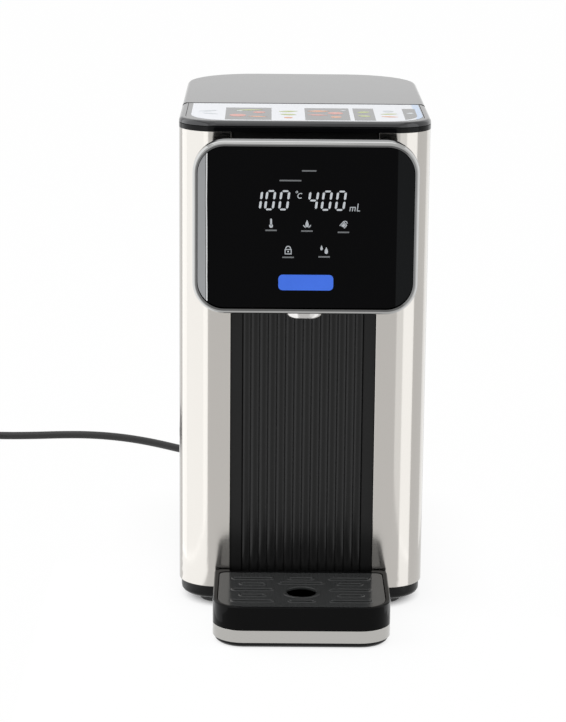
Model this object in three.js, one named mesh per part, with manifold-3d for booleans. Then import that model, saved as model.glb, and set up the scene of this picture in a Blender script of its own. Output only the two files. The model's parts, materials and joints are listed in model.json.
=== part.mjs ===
import * as THREE from 'three';
import { mergeVertices } from 'three/addons/utils/BufferGeometryUtils.js';
import Module from 'manifold-3d';

// A countertop hot-water dispenser, in millimetres: x to the right, y to the back, z up.
// The origin is on the table, under the middle of the footprint without the lead.

const gap = 0.3; // between pieces that touch
const slide = 0.5; // between pieces that slide past each other
const overrun = 3; // how far a cut runs past the face it opens
const squareRadius = 0.4; // corners that are nearly square
const endShare = 0.48; // end radius of a slot, as a share of its width

// Stainless wrap with its open front
const body = {
  width: 180, depth: 272, frontRadius: 27, rearRadius: 55, bottom: 16.4, top: 354, sheet: 1, hem: 8,
};

// Fluted front panel between the two edges of the wrap
const channel = {
  width: 104.6, recess: 2, thickness: 3.4, flat: 9, ribPitch: 6.05, ribDepth: 1.1, ribEdge: 0.9,
  returnDepth: 11, returnWall: 2,
};

// Moulded base with its skirt, and what closes it from below
const base = {
  bottom: 6.5, underside: 8.6, floorTop: 11, inset: 1.6, curve: 4, rim: 6, wall: 2.4,
  lipHeight: 10, lipWall: 2.2, doorMargin: 2.5, doorLap: 5, doorSheet: 1.4,
  guideWall: 1.6, guideDrop: 5,
};
const foot = { radius: 12.5, topRadius: 11.6, chamfer: 1.2, fromSide: 28, fromFront: 26, fromRear: 52 };
const vent = { length: 26, width: 3, apart: 9, rowPitch: 13, border: 12 };

// Control head that stands in front of the wrap
const head = {
  bottom: 236.5, width: 155.8, height: 120.5, radius: 22, reach: 60, ringDepth: 8, ringWidth: 3.2,
  ringTop: 4.5, rimDepth: 8, rimInset: 0.8, rimRound: 3, wall: 2.2, neckWidth: 100, neckRadius: 12,
  neckDrop: 6, neckLift: 1, portWidth: 60, portHeight: 66,
};
const glass = { recess: 0.6, thickness: 2.8 };
const display = {
  moduleWidth: 92, moduleHeight: 24, moduleDepth: 2.2, moduleRaise: 19, boardInset: 8, boardSheet: 1.6,
  boardBottom: 32, postRadius: 3, postInset: 6,
};

// Outlet under the head
const spout = {
  facets: 24, reach: 42, radius: 12, bore: 6, height: 5.2, round: 1.2, sleeveRadius: 8, sleeveLength: 8,
  bossMargin: 1.2, tubeRadius: 5.4, tubeBore: 3.4, tubeDrop: 5,
};
const chamber = { width: 28, depth: 30, height: 28, radius: 5, spigotRadius: 4, spigotLength: 6 };

// Top frame, fixed front cover with its printed strip, and the tank cover
const cover = { overhang: 4.5, thickness: 3.7, round: 3, seamRound: 0.6, shell: 2.2 };
const collar = { thickness: 3.7, rimHeight: 8, rimWall: 2 };
const deck = { depth: 91, notchRadius: 9, inlayMargin: 5, inlaySheet: 1 };
const lid = { seam: 0.8, cornerRadius: 1.6 };
const mouth = { inset: 16, cornerRadius: 10 };
const liner = { clearance: 3, wall: 2, depth: 9, sealHeight: 3 };

// Water tank under the top frame
const tank = {
  height: 139, wall: 2, room: 4, flange: 3, flangeSheet: 2.4, taper: 3, taperHeight: 8,
  outletRadius: 8, outletBore: 4.5, outletLength: 9, outletX: 24, outletFromFront: 26,
  ventX: -11, ventRadius: 3.6, ventLength: 8,
};
const strainer = { radius: 11, height: 9, wall: 1.4, slotWidth: 1.6, slotCount: 8 };
const float = {
  x: -46, fromFront: 34, rodRadius: 2.4, rodHeight: 34, stopRadius: 5, stopHeight: 2,
  radius: 11, bore: 3.1, height: 12, footRadius: 5, footHeight: 2,
};

// Flow meter, pump and heater
const meter = { width: 24, depth: 24, height: 18, spigotRadius: 4, spigotLength: 7 };
const pump = {
  x: 30, fromRear: 58, axisHeight: 34, motorRadius: 15, motorLength: 38, headRadius: 17, headLength: 22,
  spigotRadius: 3.6, spigotLength: 7, spigotX: 8, plate: 2, cradleLength: 26, cradleWidth: 34, margin: 6,
};
const heater = {
  x: 24, y: 34, bottom: 104, length: 132, radius: 16, capRadius: 18, capHeight: 9,
  spigotRadius: 3.6, spigotLength: 8, plateWidth: 44, plateHeight: 92, plateSheet: 2.2,
  saddleHeight: 10, saddlePitch: 60, saddleWidth: 26,
};
const cutout = { width: 15, depth: 8, height: 15, tabLength: 5, tabWidth: 4.8, tabSheet: 0.8 };
const probe = { radius: 3, length: 9, headRadius: 5, headLength: 4 };
const hose = { radius: 4.6, sides: 8, steps: 16, straight: 9 };
const innerLead = { radius: 2.4, straight: 4 };

// Power electronics on a carrier beside the left wall
const board = {
  fromSide: 22, fromFront: 42, width: 110, height: 150, sheet: 1.6, bottom: 22, carrierSheet: 2.4,
  carrierMargin: 4, postRadius: 3, postLength: 4, postInset: 9, footWidth: 14, footSheet: 3,
  canRadius: 7.5, canLength: 24,
};
const sink = { width: 44, height: 52, base: 3.6, finHeight: 13, finSheet: 1.6, finPitch: 6.4 };
const terminal = { width: 30, depth: 18, height: 15, wellWidth: 6, wellDepth: 6, fromRear: 36 };
const ribbon = { width: 14, sheet: 1.4, steps: 22, fall: 30 };

// Drip tray that docks under the head
const tray = {
  width: 126.4, reach: 85, standOff: 1.5, frontRadius: 22, rearRadius: 5, lift: 0.3, baseTop: 3.9,
  bandTop: 13.2, top: 30.6, baseInset: 1.6, bandSheet: 0.8, floor: 2.4, frontRim: 2.4,
  sideRim: 3.8, rearRim: 6, ledge: 2.5, edgeRound: 0.8, tongueToFoot: 3.5, tongueWidth: 16,
  tongueLength: 24, tongueSheet: 3,
};
const grille = {
  sheet: 1.8, sink: 0.4, lipDrop: 3, lipWall: 1.6, holeRadius: 10.8, holeForward: 5, rowsReach: 46,
  rowPitch: 12.4, longSlot: 27.4, shortSlot: 16, midSlot: 30, slotWidth: 2.6, columnX: 35, midNear: 24.8,
  midFar: 15,
};

// Mains lead: gland, free stretch on the table, coil and plug
const lead = { radius: 3.5, x: -30, height: 32, sides: 8, steps: 40 };
const gland = {
  facets: 16, shankRadius: 9, inside: 8, flangeRadius: 12, flangeSheet: 2.6, bootRadius: 8, tipRadius: 5,
  length: 34, grooves: 4, grooveDepth: 0.9,
};
const coil = {
  meanRadius: 41.3, turns: 4.25, stepsPerTurn: 24, sides: 6, turnGap: 0.7, lift: 1.2, straight: 7,
  tail: 32,
};
const tie = { sheet: 0.8, width: 10, round: 2 };
const plug = {
  width: 32, height: 23, length: 38, round: 5, neckLength: 10, neckRadius: 6, pinWidth: 6.4,
  pinSheet: 1.6, pinLength: 17, earthLength: 20, pinOffset: 6.9, earthOffset: 7.2, pinTilt: 30,
};

const wasm = await Module();
wasm.setup();

// Solids

function solid(geometry) {
  const bare = new THREE.BufferGeometry();
  bare.setAttribute('position', geometry.getAttribute('position'));
  if (geometry.index) bare.setIndex(geometry.index);
  const merged = mergeVertices(bare);
  const kept = [];
  const corners = merged.index.array;
  for (let i = 0; i < corners.length; i += 3) {
    const [a, b, c] = [corners[i], corners[i + 1], corners[i + 2]];
    if (a !== b && b !== c && c !== a) kept.push(a, b, c);
  }
  const vertProperties = merged.getAttribute('position').array;
  return new wasm.Manifold(new wasm.Mesh({ numProp: 3, vertProperties, triVerts: new Uint32Array(kept) }));
}

function geometryOf(made) {
  const { numProp, vertProperties, triVerts } = made.getMesh();
  const geometry = new THREE.BufferGeometry();
  geometry.setAttribute('position', new THREE.BufferAttribute(vertProperties, numProp));
  geometry.setIndex(new THREE.BufferAttribute(triVerts, 1));
  const faceted = geometry.toNonIndexed();
  faceted.computeVertexNormals();
  return faceted;
}

const joined = (...pieces) => pieces.reduce((sum, piece) => sum.add(piece));
const cut = (piece, ...tools) => tools.reduce((left, tool) => left.subtract(tool), piece);

// A box from its lowest corner.
function box(x, y, z, width, depth, height) {
  const geometry = new THREE.BoxGeometry(width, depth, height);
  return solid(geometry.translate(x + width / 2, y + depth / 2, z + height / 2));
}

// Outlines are rounded rectangles: { left, right, front, rear, frontRadius, rearRadius }.
function inset(outline, by) {
  return {
    left: outline.left + by, right: outline.right - by,
    front: outline.front + by, rear: outline.rear - by,
    frontRadius: Math.max(outline.frontRadius - by, squareRadius),
    rearRadius: Math.max(outline.rearRadius - by, squareRadius),
  };
}

function rectangle(left, right, front, rear, radius) {
  return { left, right, front, rear, frontRadius: radius, rearRadius: radius };
}

function ring(outline, steps = 8) {
  const { left, right, front, rear, frontRadius, rearRadius } = outline;
  const corners = [
    [right - frontRadius, front + frontRadius, frontRadius, -Math.PI / 2],
    [right - rearRadius, rear - rearRadius, rearRadius, 0],
    [left + rearRadius, rear - rearRadius, rearRadius, Math.PI / 2],
    [left + frontRadius, front + frontRadius, frontRadius, Math.PI],
  ];
  const points = [];
  for (const [x, y, radius, start] of corners) {
    for (let i = 0; i <= steps; i += 1) {
      const angle = start + (i / steps) * (Math.PI / 2);
      points.push(new THREE.Vector2(x + radius * Math.cos(angle), y + radius * Math.sin(angle)));
    }
  }
  return points;
}

function prism(points, from, to) {
  const shape = new THREE.Shape(points);
  const geometry = new THREE.ExtrudeGeometry(shape, { depth: to - from, bevelEnabled: false });
  return solid(geometry.translate(0, 0, from));
}

const slab = (outline, from, to, steps) => prism(ring(outline, steps), from, to);

// A slot along x with rounded ends, about the given middle.
function slotAt(x, y, length, width, from, to, steps) {
  const [along, across] = [length / 2, width / 2];
  const outline = rectangle(x - along, x + along, y - across, y + across, width * endShare);
  return slab(outline, from, to, steps);
}

// A closed body through rings of equally many points, each at its own height.
function loft(layers) {
  const count = layers[0].points.length;
  const position = [];
  for (const { points, z } of layers) points.forEach((p) => position.push(p.x, p.y, z));
  const index = [];
  for (let k = 0; k + 1 < layers.length; k += 1) {
    for (let i = 0; i < count; i += 1) {
      const [a, b] = [k * count + i, k * count + ((i + 1) % count)];
      index.push(a, b, b + count, a, b + count, a + count);
    }
  }
  const top = (layers.length - 1) * count;
  for (const [a, b, c] of THREE.ShapeUtils.triangulateShape(layers[0].points, [])) index.push(a, c, b);
  for (const [a, b, c] of THREE.ShapeUtils.triangulateShape(layers.at(-1).points, [])) {
    index.push(top + a, top + b, top + c);
  }
  const geometry = new THREE.BufferGeometry();
  geometry.setAttribute('position', new THREE.Float32BufferAttribute(position, 3));
  geometry.setIndex(index);
  return solid(geometry);
}

// A cover whose upper edge is rounded over the given radius, less along its seam.
function roundedCover(outline, from, to, round, seam, seamRound, steps = 3) {
  const layers = [{ points: ring(outline), z: from }];
  for (let i = 0; i <= steps; i += 1) {
    const angle = (i / steps) * (Math.PI / 2);
    const by = round * (1 - Math.cos(angle));
    const edge = inset(outline, by);
    if (seam === 'rear') edge.rear = outline.rear - (by * seamRound) / round;
    if (seam === 'front') edge.front = outline.front + (by * seamRound) / round;
    layers.push({ points: ring(edge), z: to - round + round * Math.sin(angle) });
  }
  return loft(layers);
}

// A turned body about the z axis: [radius, height] pairs, up the outside and back down the inside.
function turned(profile, segments = 20) {
  const points = profile.map(([radius, height]) => new THREE.Vector2(radius, height));
  return solid(new THREE.LatheGeometry(points, segments).rotateX(Math.PI / 2));
}

const disc = (radius, from, to, segments = 20) =>
  turned([[0, from], [radius, from], [radius, to], [0, to]], segments);

function swept(section, points, steps) {
  const extrudePath = new THREE.CatmullRomCurve3(points, false, 'centripetal');
  return solid(new THREE.ExtrudeGeometry(section, { steps, extrudePath, bevelEnabled: false }));
}

function tube(points, radius, sides, steps) {
  const section = new THREE.Shape();
  for (let i = 0; i < sides; i += 1) {
    const angle = ((i + 0.5) / sides) * 2 * Math.PI;
    const [x, y] = [radius * Math.cos(angle), radius * Math.sin(angle)];
    if (i === 0) section.moveTo(x, y);
    else section.lineTo(x, y);
  }
  return swept(section, points, steps);
}

const point = (x, y, z) => new THREE.Vector3(x, y, z);
const turnedAlongY = (made) => made.rotate([-90, 0, 0]); // up becomes rearward
const turnedAlongX = (made) => made.rotate([0, 90, 0]); // up becomes rightward

// Finishes: colour, roughness, metalness
const finishes = {
  steel: [0xc8c6c1, 0.28, 1],
  chrome: [0xd6d6d4, 0.08, 1],
  silver: [0xc9c6c4, 0.3, 0.9],
  glossBlack: [0x0e0e10, 0.12, 0],
  coverBlack: [0x18181b, 0.16, 0],
  fluted: [0x1b1b1c, 0.22, 0],
  skirt: [0x1d1d1f, 0.45, 0],
  rubber: [0x161616, 0.85, 0],
  touchGlass: [0x060607, 0.05, 0],
  print: [0xe9edf1, 0.3, 0],
  grilleGrey: [0x3d3e3e, 0.42, 0],
  clear: [0xcfd8dc, 0.15, 0],
  white: [0xe6e6e2, 0.4, 0],
  silicone: [0xdedad2, 0.6, 0],
  circuit: [0x1f5a38, 0.5, 0],
  aluminium: [0xb4b7ba, 0.35, 1],
  motor: [0x8b8d90, 0.4, 0.9],
  black: [0x151515, 0.6, 0],
  brass: [0xb9974e, 0.3, 1],
};

const assembly = new THREE.Group();
const machine = new THREE.Group(); // y runs from the front face of the wrap
assembly.add(machine);

const footprint = body.depth + tray.standOff + tray.reach;
machine.position.y = footprint / 2 - body.depth;

function place(group, name, made, finish, x = 0, y = 0, z = 0) {
  const [color, roughness, metalness] = finishes[finish];
  const material = new THREE.MeshStandardMaterial({ color, roughness, metalness });
  const mesh = new THREE.Mesh(geometryOf(made), material);
  mesh.name = name;
  mesh.position.set(x, y, z);
  group.add(mesh);
}

const bodyOutline = {
  left: -body.width / 2, right: body.width / 2, front: 0, rear: body.depth,
  frontRadius: body.frontRadius, rearRadius: body.rearRadius,
};

// Wrap, fluted panel and base

// Bore through the rear wall for the lead's gland, wider than it by the given clearance.
function glandBore(clearance) {
  const bore = disc(gland.shankRadius + clearance, -gland.inside - overrun, overrun, gland.facets);
  return turnedAlongY(bore).translate([lead.x, body.depth, lead.height]);
}

function steelShell() {
  const height = body.top - body.bottom;
  const outer = slab(bodyOutline, 0, height, 12);
  const inside = slab(inset(bodyOutline, body.sheet), -overrun, height + overrun, 12);
  const doorway = box(
    -channel.width / 2, -overrun, -overrun, channel.width, body.hem, height + 2 * overrun,
  );
  const hemLeft = box(-channel.width / 2 - body.sheet, 0, 0, body.sheet, body.hem, height);
  const hemRight = box(channel.width / 2, 0, 0, body.sheet, body.hem, height);
  const wrap = cut(outer, inside, doorway, glandBore(gap).translate([0, 0, -body.bottom]));
  return joined(wrap, hemLeft, hemRight);
}

const panelBack = channel.recess + channel.thickness;

// Outline of the fluted panel seen from above: flat side strips, ribs between them, returns behind.
function flutedOutline() {
  const half = channel.width / 2 - gap;
  const count = Math.floor((2 * half - 2 * channel.flat) / channel.ribPitch);
  const start = (-count * channel.ribPitch) / 2;
  const stepsPerRib = 5;
  const points = [[-half, channel.recess], [start - channel.ribEdge, channel.recess]];
  for (let i = 0; i <= count * stepsPerRib; i += 1) {
    const rise = Math.sin(((i % stepsPerRib) / stepsPerRib) * Math.PI);
    const y = channel.recess + channel.ribDepth * (1 - rise);
    points.push([start + (i / stepsPerRib) * channel.ribPitch, y]);
  }
  points.push([channel.ribEdge - start, channel.recess], [half, channel.recess]);
  points.push([half, channel.returnDepth], [half - channel.returnWall, channel.returnDepth]);
  points.push([half - channel.returnWall, panelBack], [channel.returnWall - half, panelBack]);
  points.push([channel.returnWall - half, channel.returnDepth]);
  points.push([-half, channel.returnDepth]);
  return points.map(([x, y]) => new THREE.Vector2(x, y));
}

const neckTop = body.top - head.neckDrop;
const neckBottom = head.bottom + head.rimInset + head.neckLift;
const neckCentre = (neckTop + neckBottom) / 2;
const neckHalf = head.neckWidth / 2;

function channelPanel() {
  const height = body.top - body.bottom - gap;
  const panel = prism(flutedOutline(), 0, height);
  const port = box(
    -head.portWidth / 2, -overrun, neckCentre - head.portHeight / 2 - body.bottom,
    head.portWidth, channel.returnDepth + overrun, head.portHeight,
  );
  return cut(panel, port);
}

const skirtTop = body.bottom - gap;
const tongueX = body.width / 2 - foot.fromSide - foot.radius - tray.tongueToFoot - tray.tongueWidth / 2;
const guideX = tray.tongueWidth / 2 + slide;
const doorInset = foot.fromSide + foot.radius + base.doorMargin + base.doorLap;
const doorRear = body.depth - pump.fromRear - pump.motorLength - pump.headLength - pump.margin;
const doorHalf = body.width / 2 - doorInset;
const doorOutline = rectangle(-doorHalf, doorHalf, doorInset, doorRear, base.doorLap);
const guideLength = doorInset - base.doorLap - base.inset - base.curve - slide;

function baseFrame() {
  const layers = [];
  const steps = 4;
  for (let i = 0; i <= steps; i += 1) {
    const angle = (i / steps) * (Math.PI / 2);
    const by = base.inset + base.curve * (1 - Math.sin(angle));
    const z = base.bottom + base.curve * (1 - Math.cos(angle));
    layers.push({ points: ring(inset(bodyOutline, by), 8), z });
  }
  layers.push({ points: ring(inset(bodyOutline, base.inset), 8), z: skirtTop });
  const skirt = loft(layers);
  const well = slab(inset(bodyOutline, base.inset + base.wall), base.floorTop, skirtTop + overrun);
  const underside = slab(
    inset(bodyOutline, base.inset + base.curve + base.rim), base.bottom - overrun, base.underside,
  );
  const lipOutline = inset(bodyOutline, body.sheet + gap);
  const lip = cut(
    slab(lipOutline, skirtTop - gap, skirtTop + base.lipHeight, 12),
    slab(inset(lipOutline, base.lipWall), skirtTop - overrun, skirtTop + base.lipHeight + overrun),
    glandBore(slide),
    box(
      -channel.width / 2 - body.sheet - slide, -overrun, skirtTop,
      channel.width + 2 * (body.sheet + slide), channel.returnDepth + overrun, base.lipHeight + overrun,
    ),
  );
  const lipFoot = cut(
    slab(inset(bodyOutline, base.inset), base.floorTop, skirtTop),
    slab(inset(lipOutline, base.lipWall), 0, skirtTop + overrun),
  );
  const door = slab(doorOutline, 0, base.floorTop + overrun);
  let frame = joined(cut(skirt, well, underside, door), lipFoot, lip);
  for (const side of [-1, 1]) {
    for (const edge of [-1, 1]) {
      const middle = side * tongueX + edge * (guideX + base.guideWall / 2);
      frame = frame.add(box(
        middle - base.guideWall / 2, base.inset + base.curve, base.underside - base.guideDrop,
        base.guideWall, guideLength, base.guideDrop + gap,
      ));
    }
  }
  return frame;
}

function bottomPlate() {
  const outline = inset(doorOutline, -base.doorLap);
  let plate = slab(outline, 0, base.doorSheet, 3);
  const across = outline.right - outline.left - 2 * vent.border;
  const along = outline.rear - outline.front - 2 * vent.border;
  const columns = Math.floor((across + vent.apart) / (vent.length + vent.apart));
  const rows = Math.floor((along + vent.rowPitch) / vent.rowPitch);
  const middle = (outline.front + outline.rear) / 2;
  for (let i = 0; i < columns; i += 1) {
    for (let k = 0; k < rows; k += 1) {
      const x = (i - (columns - 1) / 2) * (vent.length + vent.apart);
      const y = middle + (k - (rows - 1) / 2) * vent.rowPitch;
      plate = plate.subtract(slotAt(x, y, vent.length, vent.width, -overrun, base.doorSheet + overrun, 1));
    }
  }
  return plate;
}

function rubberFoot() {
  const top = base.underside - gap;
  return turned([
    [0, 0], [foot.radius - foot.chamfer, 0], [foot.radius, foot.chamfer], [foot.topRadius, top], [0, top],
  ], 24);
}

place(machine, 'steel_shell', steelShell(), 'steel', 0, 0, body.bottom);
place(machine, 'channel_panel', channelPanel(), 'fluted', 0, 0, body.bottom);
place(machine, 'base_frame', baseFrame(), 'skirt');
place(machine, 'bottom_plate', bottomPlate(), 'black', 0, 0, base.underside - gap - base.doorSheet);

const footX = body.width / 2 - foot.fromSide;
for (const [end, y] of [['front', foot.fromFront], ['rear', body.depth - foot.fromRear]]) {
  for (const [side, x] of [['left', -footX], ['right', footX]]) {
    place(machine, `foot_${end}_${side}`, rubberFoot(), 'rubber', x, y);
  }
}

// Control head, built facing the user: x right, y up, z forward from the face of the wrap

const headGroup = new THREE.Group();
headGroup.rotation.x = Math.PI / 2;
headGroup.position.z = head.bottom + head.height / 2;
machine.add(headGroup);

const headOutline = rectangle(
  -head.width / 2, head.width / 2, -head.height / 2, head.height / 2, head.radius,
);
const toHead = (z) => z - headGroup.position.z;
const ringBack = head.reach - head.ringDepth;
const rimFront = ringBack - gap;
const rimBack = rimFront - head.rimDepth;
const neckOutline = rectangle(-neckHalf, neckHalf, toHead(neckBottom), toHead(neckTop), head.neckRadius);
const glassOutline = {
  ...inset(headOutline, head.ringWidth + gap), rear: headOutline.rear - head.ringTop - gap,
};
const boardFront = head.reach - glass.recess - glass.thickness - gap - display.moduleDepth - gap;
const boardBack = boardFront - display.boardSheet;
const boardOutline = {
  ...inset(glassOutline, display.boardInset), front: headOutline.front + display.boardBottom,
};
const spoutSeat = -head.height / 2;

function headShell() {
  const layers = [];
  const steps = 3;
  for (let i = 0; i <= steps; i += 1) {
    const angle = (i / steps) * (Math.PI / 2);
    const by = head.rimInset + head.rimRound * (1 - Math.sin(angle));
    const z = rimBack + head.rimRound * (1 - Math.cos(angle));
    layers.push({ points: ring(inset(headOutline, by)), z });
  }
  layers.push({ points: ring(inset(headOutline, head.rimInset)), z: rimFront });
  const neckBack = -channel.recess + gap;
  const upright = (radius, past) => turnedAlongY(
    disc(radius, -past, spout.sleeveLength + past, spout.facets),
  ).translate([0, spoutSeat, spout.reach]);
  const boss = upright(spout.radius + spout.bossMargin, 0).intersect(slab(headOutline, neckBack, rimFront));
  const bore = upright(spout.sleeveRadius + gap, overrun);
  const shell = joined(loft(layers), slab(neckOutline, neckBack, rimFront, 6));
  const bowlOutline = inset(headOutline, head.ringWidth + head.rimInset);
  const bowl = slab(bowlOutline, rimBack + head.wall, rimFront + overrun);
  const throat = slab(inset(neckOutline, head.wall), neckBack - overrun, rimFront + overrun, 6);
  let made = joined(cut(shell, bowl, throat), boss).subtract(bore);
  const reachPosts = boardBack - gap - rimBack - head.wall;
  for (const x of [boardOutline.left + display.postInset, boardOutline.right - display.postInset]) {
    for (const y of [boardOutline.front + display.postInset, boardOutline.rear - display.postInset]) {
      const post = disc(display.postRadius, -head.wall / 2, reachPosts, 10);
      made = made.add(post.translate([x, y, rimBack + head.wall]));
    }
  }
  return made;
}

function headBezel() {
  const opening = { ...inset(headOutline, head.ringWidth), rear: headOutline.rear - head.ringTop };
  const blank = loft([
    { points: ring(headOutline, 10), z: 0 },
    { points: ring(headOutline, 10), z: head.ringDepth - head.rimInset },
    { points: ring(inset(headOutline, head.rimInset / 2), 10), z: head.ringDepth },
  ]);
  return cut(blank, slab(opening, -overrun, head.ringDepth + overrun, 10));
}

function displayBoard() {
  return slab(boardOutline, 0, display.boardSheet, 2);
}

function displayModule() {
  const outline = rectangle(
    -display.moduleWidth / 2, display.moduleWidth / 2, display.moduleRaise - display.moduleHeight / 2,
    display.moduleRaise + display.moduleHeight / 2, squareRadius,
  );
  return slab(outline, 0, display.moduleDepth, 1);
}

// Ring of the outlet, hanging under its seat and held by a sleeve.
function spoutCollar() {
  const top = -gap;
  const low = top - spout.height;
  const profile = [
    [spout.bore + slide, low], [spout.radius - spout.round, low], [spout.radius, low + spout.round],
    [spout.radius, top], [spout.sleeveRadius, top], [spout.sleeveRadius, spout.sleeveLength],
    [spout.bore + slide, spout.sleeveLength], [spout.bore + slide, low],
  ];
  return turnedAlongY(turned(profile, spout.facets));
}

const chamberBottom = boardOutline.front - slide;
const chamberFront = boardBack - gap;

function spoutNozzle() {
  const low = spoutSeat - spout.tubeDrop;
  const high = chamberBottom - gap;
  const profile = [
    [spout.tubeBore, low], [spout.tubeRadius, low], [spout.tubeRadius, high], [spout.tubeBore, high],
    [spout.tubeBore, low],
  ];
  return turnedAlongY(turned(profile, 16));
}

// Pot that the outlet hangs from, with a spigot on its roof and one on its back.
function outletChamber() {
  const outline = rectangle(
    -chamber.width / 2, chamber.width / 2, chamberFront - chamber.depth, chamberFront, chamber.radius,
  );
  const pot = slab(outline, 0, chamber.height, 4);
  const spigot = disc(chamber.spigotRadius, -gap, chamber.spigotLength, 12);
  const roof = spigot.translate([0, chamberFront - chamber.depth / 2, chamber.height]);
  const rear = spigot.rotate([90, 0, 0])
    .translate([chamber.spigotRadius, chamberFront - chamber.depth, chamber.height / 2]);
  return joined(pot, roof, rear).rotate([-90, 0, 0]).mirror([0, 0, 1]);
}

place(headGroup, 'head_shell', headShell(), 'glossBlack');
place(headGroup, 'head_bezel', headBezel(), 'chrome', 0, 0, ringBack);
place(
  headGroup, 'touch_glass', slab(glassOutline, 0, glass.thickness, 10), 'touchGlass',
  0, 0, head.reach - glass.recess - glass.thickness,
);
place(headGroup, 'display_module', displayModule(), 'black', 0, 0, boardFront + gap);
place(headGroup, 'display_board', displayBoard(), 'circuit', 0, 0, boardBack);
place(headGroup, 'spout_collar', spoutCollar(), 'silver', 0, spoutSeat, spout.reach);
place(headGroup, 'spout_nozzle', spoutNozzle(), 'silicone', 0, 0, spout.reach);
place(headGroup, 'outlet_chamber', outletChamber(), 'white', 0, chamberBottom, 0);

// Top frame and covers, from the top edge of the wrap

const topGroup = new THREE.Group();
topGroup.position.z = body.top + gap;
machine.add(topGroup);

const topOutline = { ...bodyOutline, front: -cover.overhang };
const lidOutline = { ...bodyOutline, front: deck.depth + lid.seam, frontRadius: lid.cornerRadius };
const mouthOutline = { ...inset(lidOutline, mouth.inset), frontRadius: mouth.cornerRadius };
const linerOutline = inset(mouthOutline, liner.clearance);
const coverBottom = collar.thickness + gap;
const coverTop = coverBottom + cover.thickness;
const deckOutline = { ...topOutline, rear: deck.depth, rearRadius: deck.notchRadius };
const inlayOutline = {
  ...inset(deckOutline, deck.inlayMargin),
  rear: deckOutline.rear - cover.seamRound, rearRadius: squareRadius,
};

function topCollar() {
  const plate = slab(topOutline, 0, collar.thickness, 10);
  const rimOutline = inset(bodyOutline, body.sheet + gap);
  const rim = cut(
    slab(rimOutline, -collar.rimHeight, gap, 12),
    slab(inset(rimOutline, collar.rimWall), -collar.rimHeight - overrun, gap + overrun),
    box(
      -channel.width / 2 - body.sheet - slide, -overrun, -collar.rimHeight - overrun,
      channel.width + 2 * (body.sheet + slide), channel.returnDepth + overrun, collar.rimHeight + overrun,
    ),
  );
  const opening = slab(mouthOutline, -collar.rimHeight - overrun, collar.thickness + overrun);
  return cut(joined(plate, rim), opening);
}

function topDeck() {
  const blank = roundedCover(deckOutline, coverBottom, coverTop, cover.round, 'rear', cover.seamRound);
  const recess = slab(inset(inlayOutline, -gap), coverTop - deck.inlaySheet - gap, coverTop + overrun);
  return blank.subtract(recess);
}

function tankLid() {
  const blank = roundedCover(lidOutline, coverBottom, coverTop, cover.round, 'front', cover.seamRound);
  const pocket = inset(lidOutline, cover.round + cover.shell);
  return cut(blank, slab(pocket, coverBottom - overrun, coverTop - cover.shell));
}

function lidLiner() {
  const top = coverTop - cover.shell - gap;
  const bottom = collar.thickness - liner.depth - collar.thickness;
  const inside = slab(inset(linerOutline, liner.wall), bottom - overrun, top - liner.wall);
  return cut(slab(linerOutline, bottom, top), inside);
}

function lidSeal() {
  const inner = inset(linerOutline, -gap);
  const outer = inset(mouthOutline, slide);
  const low = (collar.thickness - liner.sealHeight) / 2;
  const high = low + liner.sealHeight;
  return cut(slab(outer, low, high), slab(inner, low - overrun, high + overrun));
}

place(topGroup, 'top_collar', topCollar(), 'glossBlack');
place(topGroup, 'top_deck', topDeck(), 'coverBlack');
place(
  topGroup, 'deck_inlay', slab(inlayOutline, 0, deck.inlaySheet), 'print',
  0, 0, coverTop - deck.inlaySheet,
);
place(topGroup, 'tank_lid', tankLid(), 'coverBlack');
place(topGroup, 'lid_liner', lidLiner(), 'white');
place(topGroup, 'lid_seal', lidSeal(), 'silicone');

// Water tank, hung under the top frame by its flange; z runs from its underside

const tankGroup = new THREE.Group();
tankGroup.position.z = body.top - tank.height;
machine.add(tankGroup);

const tankInner = inset(mouthOutline, -tank.room);
const tankOuter = inset(tankInner, -tank.wall);
const outletY = tankOuter.front + tank.outletFromFront;
const steamHeight = neckCentre + head.portHeight / 2 - 2 * hose.radius;
const floatY = tankOuter.front + float.fromFront;

function waterTank() {
  const wallOf = (outline, from, to) => loft([
    { points: ring(inset(outline, tank.taper)), z: from },
    { points: ring(outline), z: from + tank.taperHeight },
    { points: ring(outline), z: to },
  ]);
  const flange = slab(inset(tankOuter, -tank.flange), tank.height - tank.flangeSheet, tank.height);
  const outlet = disc(tank.outletRadius, -tank.outletLength, tank.wall)
    .translate([tank.outletX, outletY, 0]);
  const bore = disc(tank.outletBore, -tank.outletLength - overrun, tank.wall + overrun)
    .translate([tank.outletX, outletY, 0]);
  const steamInlet = disc(tank.ventRadius, -tank.wall / 2, tank.ventLength, 12).rotate([90, 0, 0])
    .translate([tank.ventX, tankOuter.front, steamHeight - tankGroup.position.z]);
  const blank = joined(wallOf(tankOuter, 0, tank.height), flange, outlet, steamInlet);
  return cut(blank, wallOf(tankInner, tank.wall, tank.height + overrun), bore);
}

// Slotted dome over the tank's outlet.
function tankStrainer() {
  const roof = strainer.height - strainer.wall;
  const inner = strainer.radius - strainer.wall;
  let dome = turned([
    [inner, 0], [strainer.radius, 0], [strainer.radius, roof], [inner, strainer.height],
    [0, strainer.height], [0, roof], [inner, roof], [inner, 0],
  ], 16);
  for (let i = 0; i < strainer.slotCount; i += 1) {
    const slot = box(
      inner - overrun, -strainer.slotWidth / 2, strainer.wall,
      strainer.wall + 2 * overrun, strainer.slotWidth, roof - 2 * strainer.wall,
    );
    dome = dome.subtract(slot.rotate([0, 0, (i * 360) / strainer.slotCount]));
  }
  return dome;
}

const floatRest = float.footHeight + gap;
const floatTravel = float.rodHeight - float.stopHeight - floatRest - float.height - gap;

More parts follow.
